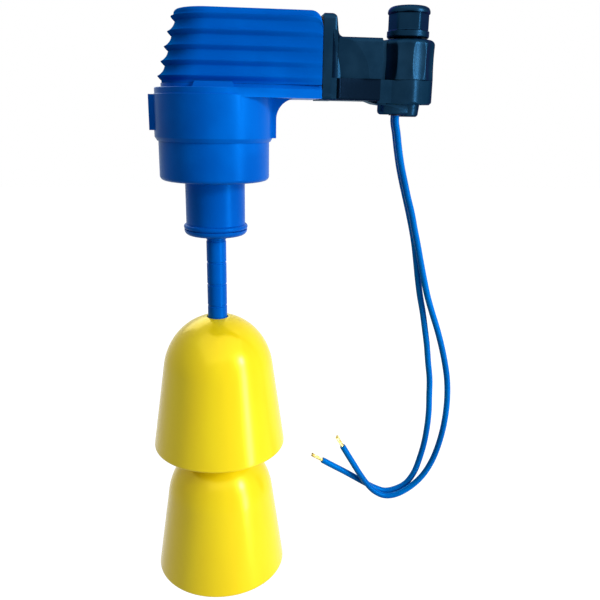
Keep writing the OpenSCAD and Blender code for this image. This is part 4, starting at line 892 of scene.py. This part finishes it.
# the floor glows white for rays from the camera, less so near the object; lengths in metres
stageLook = {"floorHeight": -0.46, "floorSize": 8, "floorColour": (0.24, 0.24, 0.245),
             "floorRough": 0.9, "nearGlow": 0.88, "glowFrom": 0.3, "glowTo": 1.0,
             "worldLight": 0.19}
lampAim = (0.02, 0, -0.07)
lamps = {
    "key": {"azimuth": 53, "elevation": 23, "distance": 1.3, "size": (0.20, 0.26), "power": 9.0,
            "colour": (1, 0.99, 0.97)},
    "tall": {"azimuth": 51, "elevation": -4, "distance": 0.9, "size": (0.14, 0.62), "power": 4.6,
             "colour": (1, 1, 1)},
    "top": {"azimuth": 14, "elevation": 66, "distance": 1.4, "size": (2.6, 2.0), "power": 11.0,
            "colour": (1, 1, 1)},
    "back": {"azimuth": 196, "elevation": 34, "distance": 1.5, "size": (1.2, 0.9), "power": 7.0,
             "colour": (1, 1, 1)}}


def makeLamp(name, lamp):
    # azimuth is counted from the front towards the connector's side, elevation from the horizon
    data = bpy.data.lights.new(name, "AREA")
    data.shape = "RECTANGLE"
    data.size, data.size_y = lamp["size"]
    data.energy, data.color = lamp["power"], lamp["colour"]
    lampObject = bpy.data.objects.new(name, data)
    a, e = math.radians(lamp["azimuth"]), math.radians(lamp["elevation"])
    direction = Vector((math.sin(a) * math.cos(e), -math.cos(a) * math.cos(e), math.sin(e)))
    lampObject.location = direction * lamp["distance"] + Vector(lampAim)
    lampObject.rotation_euler = direction.to_track_quat("Z", "Y").to_euler()
    bpy.context.scene.collection.objects.link(lampObject)


for name, lamp in lamps.items():
    makeLamp(name, lamp)


def seenDirectly(tree):
    # 1 for rays from the camera and for mirrored or refracted ones, 0 for the light on the object
    path = tree.nodes.new("ShaderNodeLightPath")
    camera, glossy, clear = [Value(tree, path.outputs["Is " + kind + " Ray"])
                             for kind in ("Camera", "Glossy", "Transmission")]
    seen = camera + glossy + clear
    return seen.maths("MINIMUM", seen, 1.0)


def makeFloor(look):
    half, z = look["floorSize"] / 2, look["floorHeight"]
    corners = [(-half, -half, z), (half, -half, z), (half, half, z), (-half, half, z)]
    mesh = bpy.data.meshes.new("floor")
    mesh.from_pydata(corners, [], [(0, 1, 2, 3)])
    finish = Finish("floorPaint", {"Base Color": look["floorColour"],
                                   "Roughness": look["floorRough"],
                                   "Specular IOR Level": 0.0, "Emission Strength": 1.0})
    reach = finish.node("ShaderNodeVectorMath", {"operation": "LENGTH"},
                        {0: finish.coordinates()}, output="Value")
    glow = finish.band(reach, look["glowFrom"], look["glowTo"], look["nearGlow"], 1.0)
    finish.feed(finish.surface.inputs["Emission Color"],
                finish.mixColour(seenDirectly(finish.tree) * glow, (0, 0, 0), (1, 1, 1)))
    mesh.materials.append(finish.material)
    floor = bpy.data.objects.new("floor", mesh)
    bpy.context.scene.collection.objects.link(floor)


def makeWorld(look):
    # white where it is seen, and a weak even light on the object
    world = bpy.data.worlds.new("world")
    bpy.context.scene.world = world
    world.use_nodes = True
    tree = world.node_tree
    background = tree.nodes["Background"]
    background.inputs["Color"].default_value = (1, 1, 1, 1)
    strength = seenDirectly(tree) * (1 - look["worldLight"]) + look["worldLight"]
    tree.links.new(strength.socket, background.inputs["Strength"])


makeFloor(stageLook)
makeWorld(stageLook)
bpy.context.scene.view_settings.view_transform = "Standard"
print("stage and lamps made")
